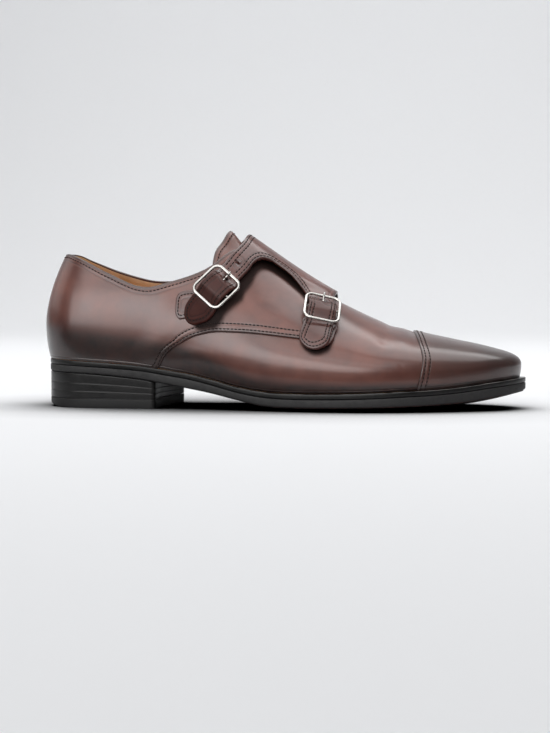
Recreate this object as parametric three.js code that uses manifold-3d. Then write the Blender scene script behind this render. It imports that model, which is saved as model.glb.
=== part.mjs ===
// A double monk strap shoe for the right foot: millimetres, toe along +X, inner side of the foot along +Y,
// up +Z.
import * as THREE from "three";
import { mergeVertices } from "three/addons/utils/BufferGeometryUtils.js";
import Module from "manifold-3d";

const wasm = await Module();
wasm.setup();

// ---- driving dimensions -------------------------------------------------------------------------

const GAP = 0.3; // air between pieces that meet
const SLIVER = 0.03; // detail finer than this is dropped from cut pieces
const LAST = { length: 294, ballWidth: 91, instep: 119 }; // the form inside the shoe, without the sole
const WALL = 2.0; // leather and lining of the upper together
// the straps stand off the quarters, lift over the tab near each buckle and bump up over the buckle's bar
const STRAP = { thickness: 1.8, stand: 0.55, lift: 1.05, bump: 3.9, bumpReach: 7.8, bumpRamp: 4.4,
  halfWidth: 8.6, nearFrom: -25, nearRamp: 9, nearAcross: 24, sideRamp: 6, barAcross: 17, barRamp: 4 };
const FLAP_RISE = { height: 2.3, innerEnd: 0.35 }; // extra stand between the straps, gone at v innerEnd
const FLAP_THICKNESS = 2.2;
const TONGUE_DEPTH = 3.3; // from the outside of the upper down to the tongue
const TONGUE_THICKNESS = 2.0;
const CAP = { gap: 0.35, thickness: 1.2, start: 0.73, low: 0.045 }; // low: clear of the welt
const TAB_THICKNESS = 1.0;
const WELT = { thickness: 2.8, inset: 2.3 };
const INSOLE = { inset: 2.7, rise: 2.5 };
const TOP_PIECE_THICKNESS = 5.7;
const BUCKLE = { along: 24.4, across: 23, wire: 1.9, corner: 4.2, height: 5.2, bar: 1.3, barHeight: 4.5 };
const PRONG = { radius: 0.6, start: -1.5, end: -12.9, startHeight: 4.6, endHeight: 7.7 };

/** Rows of numbers as objects with named columns. */
const table = (names, rows) => rows.map((row) => Object.fromEntries(names.map((name, i) => [name, row[i]])));

// Sections of the last, from the back of the heel (u 0) to the tip of the toe (u 1). Each section plane
// starts at a point of the spine and ends on the edge of the sole, on the outer side (lat) and the inner side
// (med) of the foot. X columns are parts of the length and Y columns parts of the ball width; belly is how far
// the widest point stands out past the edge, and rise its height over the edge, in millimetres; crest is a
// part of the instep height; side and top are the fullness of the curve from the widest point to the crest.
const SECTIONS = table([
  "u", "spineX", "spineY", "latX", "latY", "medX", "medY", "bellyLat", "bellyMed", "riseLat", "riseMed",
  "crest", "side", "top"], [
  [0, 0.122, 0.011, 0.009, 0.011, 0.009, 0.011, 2.8, 2.8, 21, 21, 1, 0.36, 0.42],
  [0.05, 0.122, 0.011, 0.022, -0.17, 0.022, 0.198, 2.6, 2.6, 21, 21, 1, 0.37, 0.42],
  [0.11, 0.126, 0.011, 0.075, -0.313, 0.068, 0.335, 2.2, 2.2, 20, 21, 1, 0.4, 0.42],
  [0.19, 0.17, 0.005, 0.17, -0.346, 0.163, 0.357, 2, 2, 19, 22, 1, 0.43, 0.4],
  [0.28, 0.272, 0, 0.272, -0.352, 0.272, 0.319, 3, 2, 19, 24, 0.992, 0.43, 0.36],
  [0.37, 0.374, 0, 0.374, -0.379, 0.374, 0.297, 4.5, 2.5, 18, 24, 0.95, 0.4, 0.32],
  [0.46, 0.476, 0.005, 0.476, -0.44, 0.476, 0.341, 4.5, 3, 16, 20, 0.798, 0.4, 0.34],
  [0.55, 0.578, 0.011, 0.578, -0.495, 0.578, 0.434, 3.5, 3, 14, 16, 0.63, 0.42, 0.36],
  [0.64, 0.673, 0.016, 0.673, -0.511, 0.673, 0.495, 2.5, 3, 12, 14, 0.504, 0.46, 0.42],
  [0.72, 0.755, 0.022, 0.755, -0.478, 0.755, 0.495, 2, 2.5, 11, 12, 0.42, 0.5, 0.5],
  [0.8, 0.837, 0.022, 0.837, -0.396, 0.837, 0.423, 1.8, 2, 10, 11, 0.37, 0.54, 0.54],
  [0.87, 0.891, 0.022, 0.912, -0.297, 0.912, 0.33, 1.6, 1.8, 9, 9, 0.342, 0.56, 0.56],
  [0.94, 0.891, 0.022, 0.976, -0.17, 0.976, 0.203, 1.4, 1.5, 8, 8, 0.342, 0.56, 0.56],
  [1, 0.891, 0.022, 1.008, 0.022, 1.008, 0.022, 1.2, 1.2, 8, 8, 0.342, 0.56, 0.56],
]);
const TOE = { start: 0.8, pivot: 0.87, slope: -0.155 }; // where the sections fan out, and the toe's fall
const BELLY_PART = 0.3; // the part of a section that lies below its widest point

// Heights along the sole, by distance from the heel: seat is the upper's lower edge, edge the outsole's lower
// rim, tread its middle, and out is how far welt and outsole stand out past the upper.
const SOLE = table(["x", "seat", "edge", "tread", "out"], [
  [0, 30.4, 22.4, 22.4, 0.2],
  [35, 28.9, 21.2, 21.2, 0.3],
  [66, 26.6, 18.1, 18.1, 0.6],
  [82, 24.2, 15.3, 15.0, 1.1],
  [97, 21.8, 12.7, 12.0, 1.7],
  [111, 18.6, 10.1, 9.0, 2.3],
  [127, 14.5, 6.5, 4.6, 3.1],
  [143, 11.9, 3.3, 1.0, 3.8],
  [158, 11.0, 2.4, 0.0, 4.2],
  [185, 11.1, 2.5, 0.0, 4.4],
  [212, 11.9, 3.0, 0.0, 4.4],
  [230, 12.8, 3.6, 0.9, 4.4],
  [248, 13.7, 4.4, 1.9, 4.5],
  [264, 15.2, 5.6, 3.4, 4.6],
  [280, 17.4, 8.0, 6.2, 4.8],
  [297, 19.4, 11.2, 10.2, 5.0],
  [306, 20.2, 12.8, 12.4, 5.0],
]);

// The rim of the collar and throat: how far it lies from the crest, as part of the half section.
const RIM = table(["u", "lat", "med"], [
  [0.0, 0.34, 0.34],
  [0.062, 0.34, 0.345],
  [0.115, 0.37, 0.385],
  [0.173, 0.434, 0.441],
  [0.223, 0.484, 0.478],
  [0.252, 0.49, 0.482],
  [0.281, 0.466, 0.468],
  [0.334, 0.405, 0.4],
  [0.37, 0.332, 0.32],
  [0.4, 0.215, 0.215],
  [0.43, 0.11, 0.12],
  [0.47, 0.06, 0.07],
  [0.53, 0.03, 0.04],
  [0.565, 0.0, 0.0],
]);

// Outlines seen from the outer side, as [x, z].
const FLAP_REAR = [[132, 118], [129.4, 108.1], [127.8, 104.3], [125, 100.2], [121.3, 95.2], [117.5, 89.8],
  [115, 86.4]];
const FLAP_ARCH = [[124.4, 75.6], [127.9, 79.7], [132.9, 86], [135.8, 90.3], [138.8, 92.6], [142.6, 92.9],
  [147.5, 90.6], [152.2, 87.6], [156.3, 84.7], [160.2, 81], [163.8, 76.9], [166.9, 73], [170.5, 72]];
const FLAP_FRONT = [[184.9, 69.4], [184.7, 72], [185.4, 84]];
const REAR_TAB = [[98.5, 73.2], [91.6, 72], [89.1, 69], [88.7, 63.4], [89.2, 58.4], [91.3, 55.3],
  [95.4, 54.8], [104, 55.2], [112.5, 60], [116.5, 67.5], [110.5, 75]];
const FRONT_TAB = [[170, 59], [170, 49], [173, 43], [178, 40.6], [183.4, 40.4], [186.6, 44.2], [187.8, 51],
  [186.6, 59]];
const FLAP_INNER_SIDE = [[117, 91], [134, 78], [150, 67], [168, 57], [184, 52], [185.4, 84], [150, 113],
  [132, 118]];
const CAP_EDGE = [[232.4, 60], [232.6, 47], [236.3, 41], [238.6, 35], [239.7, 29], [239.3, 22], [237, 10]];
// The buckles: where the middle of the bar is seen from the outer side, the way the strap runs, where the
// strap leaves the flap, along from the bar, and the outline of its end past the bar, as [along, across].
const BUCKLES = [
  { name: "rear", at: [113.7, 73.1], heading: [-0.709, -0.705], start: -13,
    end: [[8, -8.6], [14.1, -8], [19.5, -7], [22.7, -5.4], [26, -2], [27.2, 2], [25.8, 5.3], [22.5, 8],
      [18.1, 10.3], [12.5, 10.2], [8, 8.6]] },
  { name: "front", at: [177, 58.6], heading: [0.006, -1], start: -20,
    end: [[8, -8.6], [16.7, -10.4], [22, -10.9], [25, -9.3], [28.2, -5.8], [29.6, -2], [29.2, 2], [26.3, 6.3],
      [22, 7.4], [17.9, 7.6], [8, 8.6]] },
];
const CAP_FRONT = [[320, 10], [320, 60]];
// where the heel ends on either side, how far its front face is hollowed, how far it reaches across, and the
// last section of the sole that it takes in
const HEEL_FRONT = { outer: 75.5, inner: 84, hollow: 3, edge: 33, until: 0.35 };
// the back of the tread is worn away: how deep, and from where along the shoe it starts and ends
const HEEL_WEAR = { depth: 3.2, from: 2, over: 16 };
// the tongue's end along the shoe, its half width and taper, and how far its free end arches up
const TONGUE = { end: 0.63, half: 0.32, taper: 0.35, rise: 4.1, riseFrom: 0.43, riseRamp: 0.04,
  riseHalf: 0.2 };
const TONGUE_TIP = table(["v", "u"],
  [[0, 0.392], [0.135, 0.385], [0.231, 0.373], [0.29, 0.3695], [0.33, 0.3685]]);
const OUTER_FAR = 90; // farther out than any piece

const PALETTE = {
  leather: { color: 0x6b4238, roughness: 0.38 },
  capLeather: { color: 0x3e2a26, roughness: 0.34 },
  strapLeather: { color: 0x603830, roughness: 0.4 },
  tongueLeather: { color: 0x654036, roughness: 0.42 },
  insoleLeather: { color: 0xb98750, roughness: 0.7 },
  edge: { color: 0x2b2725, roughness: 0.45 },
  rubber: { color: 0x252323, roughness: 0.6 },
  silver: { color: 0xd9d8d4, roughness: 0.18, metalness: 1 },
};

// ---- curves -------------------------------------------------------------------------------------

/** Slopes of the smoothest closed curve through rows of numbers at places `at`, on a circle `around` long. */
function closedSlopes(at, rows, around) {
  const count = at.length;
  const step = at.map((t, i) => (i + 1 < count ? at[i + 1] : around) - t);
  const matrix = at.map(() => new Array(count).fill(0));
  const right = at.map((_, i) => {
    const before = (i + count - 1) % count;
    const after = (i + 1) % count;
    matrix[i][before] += 1 / step[before];
    matrix[i][i] += 2 / step[before] + 2 / step[i];
    matrix[i][after] += 1 / step[i];
    return rows[i].map((value, c) => 3 * ((value - rows[before][c]) / step[before] ** 2
      + (rows[after][c] - value) / step[i] ** 2));
  });
  return { step, slopes: solve(matrix, right) };
}

/** Gaussian elimination with pivots, for a small square matrix and several right sides. */
function solve(matrix, right) {
  const a = matrix.map((row, i) => [...row, ...right[i]]);
  const size = a.length;
  for (let col = 0; col < size; col++) {
    let best = col;
    for (let row = col + 1; row < size; row++) {
      if (Math.abs(a[row][col]) > Math.abs(a[best][col])) best = row;
    }
    [a[col], a[best]] = [a[best], a[col]];
    for (let row = 0; row < size; row++) {
      if (row === col) continue;
      const factor = a[row][col] / a[col][col];
      for (let k = col; k < a[row].length; k++) a[row][k] -= factor * a[col][k];
    }
  }
  return a.map((row, i) => row.slice(size).map((value) => value / row[i]));
}

/** Cubic between two values with given slopes; s runs from 0 to 1 over the length h. */
function hermite(p0, m0, p1, m1, h, s) {
  const s2 = s * s;
  const s3 = s2 * s;
  const ends = (2 * s3 - 3 * s2 + 1) * p0 + (3 * s2 - 2 * s3) * p1;
  return ends + ((s3 - 2 * s2 + s) * m0 + (s3 - s2) * m1) * h;
}

/** Smooth reading of one column of a table, whose rows are in order of the column `key`. */
function column(table, key, name) {
  const slope = table.map((row, i) => {
    const a = table[Math.max(0, i - 1)];
    const b = table[Math.min(table.length - 1, i + 1)];
    return (b[name] - a[name]) / (b[key] - a[key]);
  });
  return (where) => {
    const place = THREE.MathUtils.clamp(where, table[0][key], table[table.length - 1][key]);
    let i = 0;
    while (i < table.length - 2 && place > table[i + 1][key]) i++;
    const h = table[i + 1][key] - table[i][key];
    const s = (place - table[i][key]) / h;
    // a stretch with two equal ends stays level, so the flat tread is truly flat
    if (table[i][name] === table[i + 1][name]) return table[i][name];
    return hermite(table[i][name], slope[i], table[i + 1][name], slope[i + 1], h, s);
  };
}

const seatHeight = column(SOLE, "x", "seat");
const edgeHeight = column(SOLE, "x", "edge");
const treadHeight = column(SOLE, "x", "tread");
const sheetOut = column(SOLE, "x", "out");
const rimLat = column(RIM, "u", "lat");
const rimMed = column(RIM, "u", "med");

// ---- the last -----------------------------------------------------------------------------------

const sizes = (s, edgeX, edgeY, belly, rise) => [s.spineX * LAST.length, s.spineY * LAST.ballWidth,
  edgeX * LAST.length, edgeY * LAST.ballWidth, belly, rise, s.crest * LAST.instep, s.side, s.top];
// the half sections in order around the sole: the outer side from heel to toe, then the inner side back
const RING = [
  ...SECTIONS.map((s) => ({ t: s.u, row: sizes(s, s.latX, s.latY, s.bellyLat, s.riseLat) })),
  ...SECTIONS.slice(1, -1).reverse()
    .map((s) => ({ t: 2 - s.u, row: sizes(s, s.medX, s.medY, s.bellyMed, s.riseMed) })),
];
const RING_AT = RING.map((r) => r.t);
const RING_ROWS = RING.map((r) => r.row);
const RING_FIT = closedSlopes(RING_AT, RING_ROWS, 2);

/** The section at u on the outer (side -1) or inner (side 1) half: its plane and its named sizes. */
function sectionAt(u, side) {
  const t = side < 0 ? u : (2 - u) % 2;
  let i = RING_AT.length - 1;
  while (i > 0 && RING_AT[i] > t) i--;
  const after = (i + 1) % RING_AT.length;
  const h = RING_FIT.step[i];
  const s = (t - RING_AT[i]) / h;
  const [spineX, spineY, edgeX, edgeY, belly, rise, crest, full, shoulder] = RING_ROWS[i].map((value, c) =>
    hermite(value, RING_FIT.slopes[i][c], RING_ROWS[after][c], RING_FIT.slopes[after][c], h, s));
  const last = SECTIONS[SECTIONS.length - 1];
  const fixed = u >= TOE.pivot; // the toe's sections all turn about one point of the crest
  const sx = fixed ? last.spineX * LAST.length : spineX;
  const sy = fixed ? last.spineY * LAST.ballWidth : spineY;
  const top = fixed ? last.crest * LAST.instep : crest;
  const reach = Math.hypot(edgeX - sx, edgeY - sy);
  const dir = [(edgeX - sx) / reach, (edgeY - sy) / reach];
  return { sx, sy, reach, dir, edgeX, belly, rise, crest: top, side: full, shoulder };
}

/** Point on the last: v is -1 on the outer edge of the sole, 0 on the crest, and 1 on the inner edge. */
function lastPoint(u, v) {
  const c = sectionAt(u, v <= 0 ? -1 : 1);
  const seat = seatHeight(c.edgeX);
  const wide = c.reach + c.belly;
  const wideZ = seat + c.rise;
  const s = 1 - Math.abs(v);
  const low = s < BELLY_PART;
  const k = low ? s / BELLY_PART : (s - BELLY_PART) / (1 - BELLY_PART);
  const frame = low
    ? [[c.reach, seat], [c.reach + 0.62 * c.belly, seat + 0.28 * c.rise], [wide, wideZ - 0.42 * c.rise],
      [wide, wideZ]]
    : [[wide, wideZ], [wide, wideZ + c.side * (c.crest - wideZ)], [c.shoulder * wide, c.crest],
      [0, c.crest]];
  const weight = [(1 - k) ** 3, 3 * k * (1 - k) ** 2, 3 * k * k * (1 - k), k ** 3];
  const r = weight.reduce((sum, w, i) => sum + w * frame[i][0], 0);
  const z = weight.reduce((sum, w, i) => sum + w * frame[i][1], 0);
  const x = c.sx + c.dir[0] * r;
  const up = Math.max(0, (s - BELLY_PART) / (1 - BELLY_PART));
  const fan = THREE.MathUtils.clamp((u - TOE.start) / (TOE.pivot - TOE.start), 0, 1);
  const fall = TOE.slope * (x - c.sx) * up * up * (3 - 2 * up) * fan;
  return new THREE.Vector3(x, c.sy + c.dir[1] * r, z + fall);
}

/** Outward direction of the last's surface. */
function lastNormal(u, v) {
  const step = 1e-3;
  const pole = Math.abs(v) < step && u > TOE.pivot - step;
  const uu = pole ? TOE.pivot - 0.01 : u;
  const vv = THREE.MathUtils.clamp(v, step - 1, 1 - step);
  const across = lastPoint(uu, vv + step).sub(lastPoint(uu, vv - step));
  if (uu < step || uu > 1 - step) return seamNormal(uu < step ? step : 1 - step, -Math.abs(vv), step);
  const along = lastPoint(uu + step, vv).sub(lastPoint(uu - step, vv));
  return along.cross(across).normalize();
}

/** The same at the back seam and at the toe, where the halves meet; near is a u close to the seam. */
function seamNormal(near, v, step) {
  const u = Math.round(near);
  const along = lastPoint(near, v).sub(lastPoint(near, -v)).multiplyScalar(u === 0 ? 1 : -1);
  const across = lastPoint(u, v + step).sub(lastPoint(u, v - step));
  return along.cross(across).normalize();
}

/** Point at a distance outside the last. */
const offsetPoint = (u, v, distance) => lastPoint(u, v).addScaledVector(lastNormal(u, v), distance);

/** Place (u, v) on the outer side of the last that is seen at x, z from that side. */
function findOnLast(x, z) {
  let best = { miss: Infinity, u: 0, v: 0 };
  const cells = 60;
  for (let i = 0; i <= cells; i++) {
    for (let j = 0; j <= cells; j++) {
      const u = i / cells;
      const v = -1 + j / cells;
      const p = lastPoint(u, v);
      const miss = Math.hypot(p.x - x, p.z - z);
      if (miss < best.miss) best = { miss, u, v };
    }
  }
  for (let span = 1 / cells; span > 1e-6; span /= 2) {
    for (const [du, dv] of [[span, 0], [-span, 0], [0, span], [0, -span]]) {
      const u = THREE.MathUtils.clamp(best.u + du, 0, 1);
      const v = THREE.MathUtils.clamp(best.v + dv, -1, 0);
      const p = lastPoint(u, v);
      const miss = Math.hypot(p.x - x, p.z - z);
      if (miss < best.miss) best = { miss, u, v };
    }
  }
  return best;
}

// ---- meshes -------------------------------------------------------------------------------------

/** Collects quads and triangles, then welds equal corners and drops the faces that this flattens. */
class Faces {
  constructor() {
    this.flat = [];
  }

  triangle(a, b, c) {
    this.flat.push(...a.toArray(), ...b.toArray(), ...c.toArray());
  }

  quad(a, b, c, d) {
    this.triangle(a, b, c);
    this.triangle(a, c, d);
  }

  geometry() {
    const loose = new THREE.BufferGeometry();
    loose.setAttribute("position", new THREE.Float32BufferAttribute(this.flat, 3));
    const welded = mergeVertices(loose, 1e-3);
    const index = welded.index.array;
    const kept = [];
    for (let i = 0; i < index.length; i += 3) {
      const [a, b, c] = [index[i], index[i + 1], index[i + 2]];
      if (a !== b && b !== c && c !== a) kept.push(a, b, c);
    }
    welded.setIndex(kept);
    return welded;
  }
}

/** Evenly spaced numbers, both ends included. */
const spread = (from, to, parts) =>
  Array.from({ length: parts + 1 }, (_, i) => from + ((to - from) * i) / parts);

function toSolid(geometry) {
  const bare = geometry.clone();
  bare.deleteAttribute("normal");
  bare.deleteAttribute("uv");
  const welded = mergeVertices(bare, 1e-4);
  return new wasm.Manifold(new wasm.Mesh({
    numProp: 3,
    vertProperties: new Float32Array(welded.attributes.position.array),
    triVerts: new Uint32Array(welded.index.array),
  }));
}

/** The mesh of a cut solid, without the slivers that the cutting leaves. */
function toGeometry(solid) {
  const mesh = solid.simplify(SLIVER).getMesh();
  const geometry = new THREE.BufferGeometry();
  geometry.setAttribute("position", new THREE.BufferAttribute(new Float32Array(mesh.vertProperties), 3));
  geometry.setIndex(new THREE.BufferAttribute(new Uint32Array(mesh.triVerts), 1));
  return geometry;
}

/** A closed sheet between two surfaces over a grid. With `folded`, the last row's halves meet: no rim. */
function sheet(outer, inner, folded = false) {
  const faces = new Faces();
  const end = outer.length - 1;
  const side = outer[0].length - 1;
  for (let i = 0; i < end; i++) {
    for (let j = 0; j < side; j++) {
      faces.quad(outer[i][j], outer[i + 1][j], outer[i + 1][j + 1], outer[i][j + 1]);
      faces.quad(inner[i][j], inner[i][j + 1], inner[i + 1][j + 1], inner[i + 1][j]);
    }
    faces.quad(outer[i][0], inner[i][0], inner[i + 1][0], outer[i + 1][0]);
    faces.quad(outer[i + 1][side], inner[i + 1][side], inner[i][side], outer[i][side]);
  }
  for (let j = 0; j < side; j++) {
    faces.quad(outer[0][j + 1], inner[0][j + 1], inner[0][j], outer[0][j]);
    if (!folded) faces.quad(outer[end][j], inner[end][j], inner[end][j + 1], outer[end][j + 1]);
  }
  return faces.geometry();
}

/** A sheet that lies over the last between two distances that may vary from place to place. */
function lastSheet(us, vs, innerAt, outerAt) {
  const surface = (distance) => us.map((u) => vs.map((v) => offsetPoint(u, v, distance(u, v))));
  return sheet(surface(outerAt), surface(innerAt));
}

const PLAIN_EXTRUDE = { bevelEnabled: false, curveSegments: 16 };

/** A block that runs from y low to y high; its outline, seen from the side, is a closed curve in x and z. */
function block(shape, low, high) {
  const geometry = new THREE.ExtrudeGeometry(shape, { ...PLAIN_EXTRUDE, depth: high - low });
  geometry.rotateX(Math.PI / 2);
  geometry.translate(0, high, 0);
  return toSolid(geometry);
}

/** Closed outline through runs of points: each run is a smooth curve, with straight lines between runs. */
function outline(...runs) {
  const shape = new THREE.Shape();
  runs.forEach((run, i) => {
    const points = run.map(([x, z]) => new THREE.Vector2(x, z));
    if (i === 0) shape.moveTo(points[0].x, points[0].y);
    else shape.lineTo(points[0].x, points[0].y);
    if (points.length > 2) smoothRun(points).forEach((p) => shape.lineTo(p.x, p.y));
    else points.slice(1).forEach((p) => shape.lineTo(p.x, p.y));
  });
  return shape;
}

const smoothRun = (points) => new THREE.SplineCurve(points).getPoints((points.length - 1) * 2).slice(1);

// ---- upper --------------------------------------------------------------------------------------

const UPPER_STATIONS = [...spread(0, 0.12, 6), ...spread(0.145, 0.545, 16), 0.565, ...spread(0.595, 0.86, 9),
  ...spread(0.87, 1, 7)];
const UPPER_LEVELS = [0, 0.08, 0.17, 0.27, 0.38, 0.5, 0.62, 0.74, 0.87, 1];

/** The hollow upper: two halves that share back seam, toe and closed crest, open at collar and below. */
function makeUpper() {
  const faces = new Faces();
  for (const side of [-1, 1]) {
    const rim = side < 0 ? rimLat : rimMed;
    const grid = (distance) => UPPER_STATIONS.map((u) => UPPER_LEVELS.map((level) => {
      const top = 1 - rim(u);
      return offsetPoint(u, side * (1 - level * top), distance);
    }));
    const outer = grid(0);
    const inner = grid(-WALL);
    const quad = (a, b, c, d) => (side < 0 ? faces.quad(a, b, c, d) : faces.quad(d, c, b, a));
    const last = UPPER_LEVELS.length - 1;
    for (let i = 0; i + 1 < UPPER_STATIONS.length; i++) {
      for (let j = 0; j < last; j++) {
        quad(outer[i][j], outer[i + 1][j], outer[i + 1][j + 1], outer[i][j + 1]);
        quad(inner[i][j], inner[i][j + 1], inner[i + 1][j + 1], inner[i + 1][j]);
      }
      quad(outer[i][0], inner[i][0], inner[i + 1][0], outer[i + 1][0]);
      const open = rim(UPPER_STATIONS[i]) > 0 || rim(UPPER_STATIONS[i + 1]) > 0;
      if (open) quad(outer[i + 1][last], inner[i + 1][last], inner[i][last], outer[i][last]);
    }
  }
  return faces.geometry();
}

/** The toe cap, a second layer over the front of the upper, cut off square to its sides by a curved edge. */
function makeToeCap() {
  const us = UPPER_STATIONS.filter((u) => u > CAP.start);
  const levels = [CAP.low, ...UPPER_LEVELS.slice(1)];
  const inner = levels.slice(0, -1).reverse();
  const vs = [...levels.map((level) => level - 1), ...inner.map((level) => 1 - level)];
  const surface = (distance) => us.map((u) => vs.map((v) => offsetPoint(u, v, distance)));
  const shell = toSolid(sheet(surface(CAP.gap + CAP.thickness), surface(CAP.gap), true));
  return toGeometry(shell.intersect(block(outline(CAP_EDGE, CAP_FRONT), -OUTER_FAR, OUTER_FAR)));
}

/** The tongue, a soft strip inside the throat that follows the crest and arches up at its free end. */
function makeTongue() {
  const tipAt = column(TONGUE_TIP, "v", "u");
  const alongs = spread(0, 1, 20).map((part) => part ** 1.4);
  const surface = (depth) => alongs.map((part) => spread(-1, 1, 12).map((across) => {
    const v = across * TONGUE.half * (1 - TONGUE.taper * part);
    const u = THREE.MathUtils.lerp(tipAt(Math.abs(v)), TONGUE.end, part);
    const free = smooth((TONGUE.riseFrom - u) / TONGUE.riseRamp);
    const rise = TONGUE.rise * free * smooth((TONGUE.riseHalf - Math.abs(v)) / TONGUE.riseHalf);
    return offsetPoint(u, v, rise - depth);
  }));
  return sheet(surface(TONGUE_DEPTH), surface(TONGUE_DEPTH + TONGUE_THICKNESS));
}

// ---- buckles ------------------------------------------------------------------------------------

/** Place and axes of a buckle on the outer side: out from the leather, along the strap and across it. */
function buckleFrame({ at, heading }) {
  const { u, v } = findOnLast(at[0], at[1]);
  const origin = lastPoint(u, v);
  const out = lastNormal(u, v);
  const y = -(out.x * heading[0] + out.z * heading[1]) / out.y; // the heading, laid in the surface
  const along = new THREE.Vector3(heading[0], y, heading[1]).normalize();
  const across = new THREE.Vector3().crossVectors(out, along).normalize();
  return { origin, out, along, across };
}

const FRAMES = BUCKLES.map(buckleFrame);
const toPlace = (frame, along, across, out) => frame.origin.clone()
  .addScaledVector(frame.along, along).addScaledVector(frame.across, across).addScaledVector(frame.out, out);

/** A round bar between two points. */
function rod(from, to, radius, sides) {
  const geometry = new THREE.CylinderGeometry(radius, radius, from.distanceTo(to), sides);
  const run = to.clone().sub(from).normalize();
  const turn = new THREE.Quaternion().setFromUnitVectors(new THREE.Vector3(0, 1, 0), run);
  geometry.applyQuaternion(turn);
  const middle = from.clone().add(to).multiplyScalar(0.5);
  return geometry.translate(middle.x, middle.y, middle.z);
}

/** The wire frame of a buckle: a rounded rectangle of round wire with a bar across its middle. */
function makeBuckle(frame) {
  const sides = 8;
  const halfA = (BUCKLE.along - BUCKLE.wire) / 2 - BUCKLE.corner;
  const halfC = (BUCKLE.across - BUCKLE.wire) / 2 - BUCKLE.corner;
  const path = [];
  [[1, 1, 0], [-1, 1, 1], [-1, -1, 2], [1, -1, 3]].forEach(([sa, sc, quarter]) => {
    spread(0, 1, 4).forEach((part) => {
      const angle = ((quarter + part) * Math.PI) / 2;
      const a = sa * halfA + BUCKLE.corner * Math.cos(angle);
      const c = sc * halfC + BUCKLE.corner * Math.sin(angle);
      path.push({ angle, a, c });
    });
  });
  const rings = path.map(({ angle, a, c }) => spread(0, 1, sides).slice(0, -1).map((part) => {
    const turn = part * 2 * Math.PI;
    const swell = (BUCKLE.wire / 2) * Math.cos(turn);
    return toPlace(frame, a + swell * Math.cos(angle), c + swell * Math.sin(angle),
      BUCKLE.height + (BUCKLE.wire / 2) * Math.sin(turn));
  }));
  const faces = new Faces();
  rings.forEach((ring, i) => {
    const next = rings[(i + 1) % rings.length];
    ring.forEach((point, k) => {
      const other = (k + 1) % sides;
      faces.quad(point, next[k], next[other], ring[other]);
    });
  });
  const reach = (BUCKLE.across - BUCKLE.wire) / 2;
  const bar = rod(toPlace(frame, 0, -reach, BUCKLE.barHeight), toPlace(frame, 0, reach, BUCKLE.barHeight),
    BUCKLE.bar / 2, sides);
  return toGeometry(toSolid(faces.geometry()).add(toSolid(bar)));
}

const makeProng = (frame) => rod(toPlace(frame, PRONG.start, 0, PRONG.startHeight),
  toPlace(frame, PRONG.end, 0, PRONG.endHeight), PRONG.radius, 8);

/** The slot in the strap that lets the prong through. */
function prongSlot(frame) {
  const width = 2 * (PRONG.radius + GAP);
  const length = 7.2;
  const slot = new THREE.BoxGeometry(length, width, 12);
  const basis = new THREE.Matrix4().makeBasis(frame.along, frame.across, frame.out);
  slot.applyMatrix4(basis);
  const middle = toPlace(frame, PRONG.start + 1 - length / 2, 0, BUCKLE.height);
  return toSolid(slot.translate(middle.x, middle.y, middle.z));
}

// ---- flap and straps ----------------------------------------------------------------------------

const smooth = (x) => THREE.MathUtils.smoothstep(x, 0, 1);

/**
 * How far the strap's underside stands off: over the tab near each buckle, up and over the buckle's bar, and
 * farther between the buckles and the crest, where the flap bridges the throat.
 */
function strapStand(u, v) {
  if (v > 0) return STRAP.stand + FLAP_RISE.height * (1 - smooth(v / FLAP_RISE.innerEnd));
  const p = lastPoint(u, v);
  let held = 0;
  let lift = 0;
  for (const frame of FRAMES) {
    const from = p.clone().sub(frame.origin);
    const along = from.dot(frame.along);
    const across = Math.abs(from.dot(frame.across));
    const near = smooth((along - STRAP.nearFrom) / STRAP.nearRamp)
      * smooth((STRAP.nearAcross - across) / STRAP.sideRamp);
    const overBar = smooth((STRAP.bumpReach - Math.abs(along)) / STRAP.bumpRamp)
      * smooth((STRAP.barAcross - across) / STRAP.barRamp);
    held = Math.max(held, near);
    lift = Math.max(lift, STRAP.lift * near + STRAP.bump * overBar);
  }
  return STRAP.stand + lift + FLAP_RISE.height * (1 - held);
}

/** The flap over the instep with its two straps, one piece that crosses the crest. */
function makeFlap() {
  const us = spread(0.29, 0.62, 32);
  const vs = [...spread(-0.65, -0.07, 22), 0, ...spread(0.1, 0.6, 5)];
  const thick = (v) => (v < -0.2 ? STRAP.thickness : FLAP_THICKNESS);
  const shell = toSolid(lastSheet(us, vs, strapStand, (u, v) => strapStand(u, v) + thick(v)));
  const outerSide = block(outline(FLAP_REAR, FLAP_ARCH, FLAP_FRONT), -OUTER_FAR, 1);
  const innerSide = block(outline([...FLAP_INNER_SIDE, FLAP_INNER_SIDE[0]]), 0, OUTER_FAR);
  const straps = BUCKLES.map(({ start, end }, i) => standingBlock(FRAMES[i], outline(end,
    [[start, STRAP.halfWidth], [start, -STRAP.halfWidth]])));
  const keep = straps.reduce((sum, strap) => sum.add(strap), outerSide.add(innerSide));
  return toGeometry(FRAMES.reduce((piece, frame) => piece.subtract(prongSlot(frame)), shell.intersect(keep)));
}

/** A block that stands over a buckle's place, whose outline is given along and across the strap. */
function standingBlock(frame, shape) {
  const [low, high] = [-22, 22];
  const geometry = new THREE.ExtrudeGeometry(shape, { ...PLAIN_EXTRUDE, depth: high - low });
  geometry.translate(0, 0, low);
  geometry.applyMatrix4(new THREE.Matrix4().makeBasis(frame.along, frame.across, frame.out));
  return toSolid(geometry.translate(...frame.origin.toArray()));
}

/** The leather tab that holds a buckle, stitched to the quarter. */
function makeTab(shape) {
  const vs = spread(-0.66, -0.3, 7);
  const us = spread(0.28, 0.63, 22);
  const shell = toSolid(lastSheet(us, vs, () => GAP, () => GAP + TAB_THICKNESS));
  return toGeometry(shell.intersect(block(outline([...shape, shape[0]]), -OUTER_FAR, 0)));
}

// ---- sole ---------------------------------------------------------------------------------------

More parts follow.
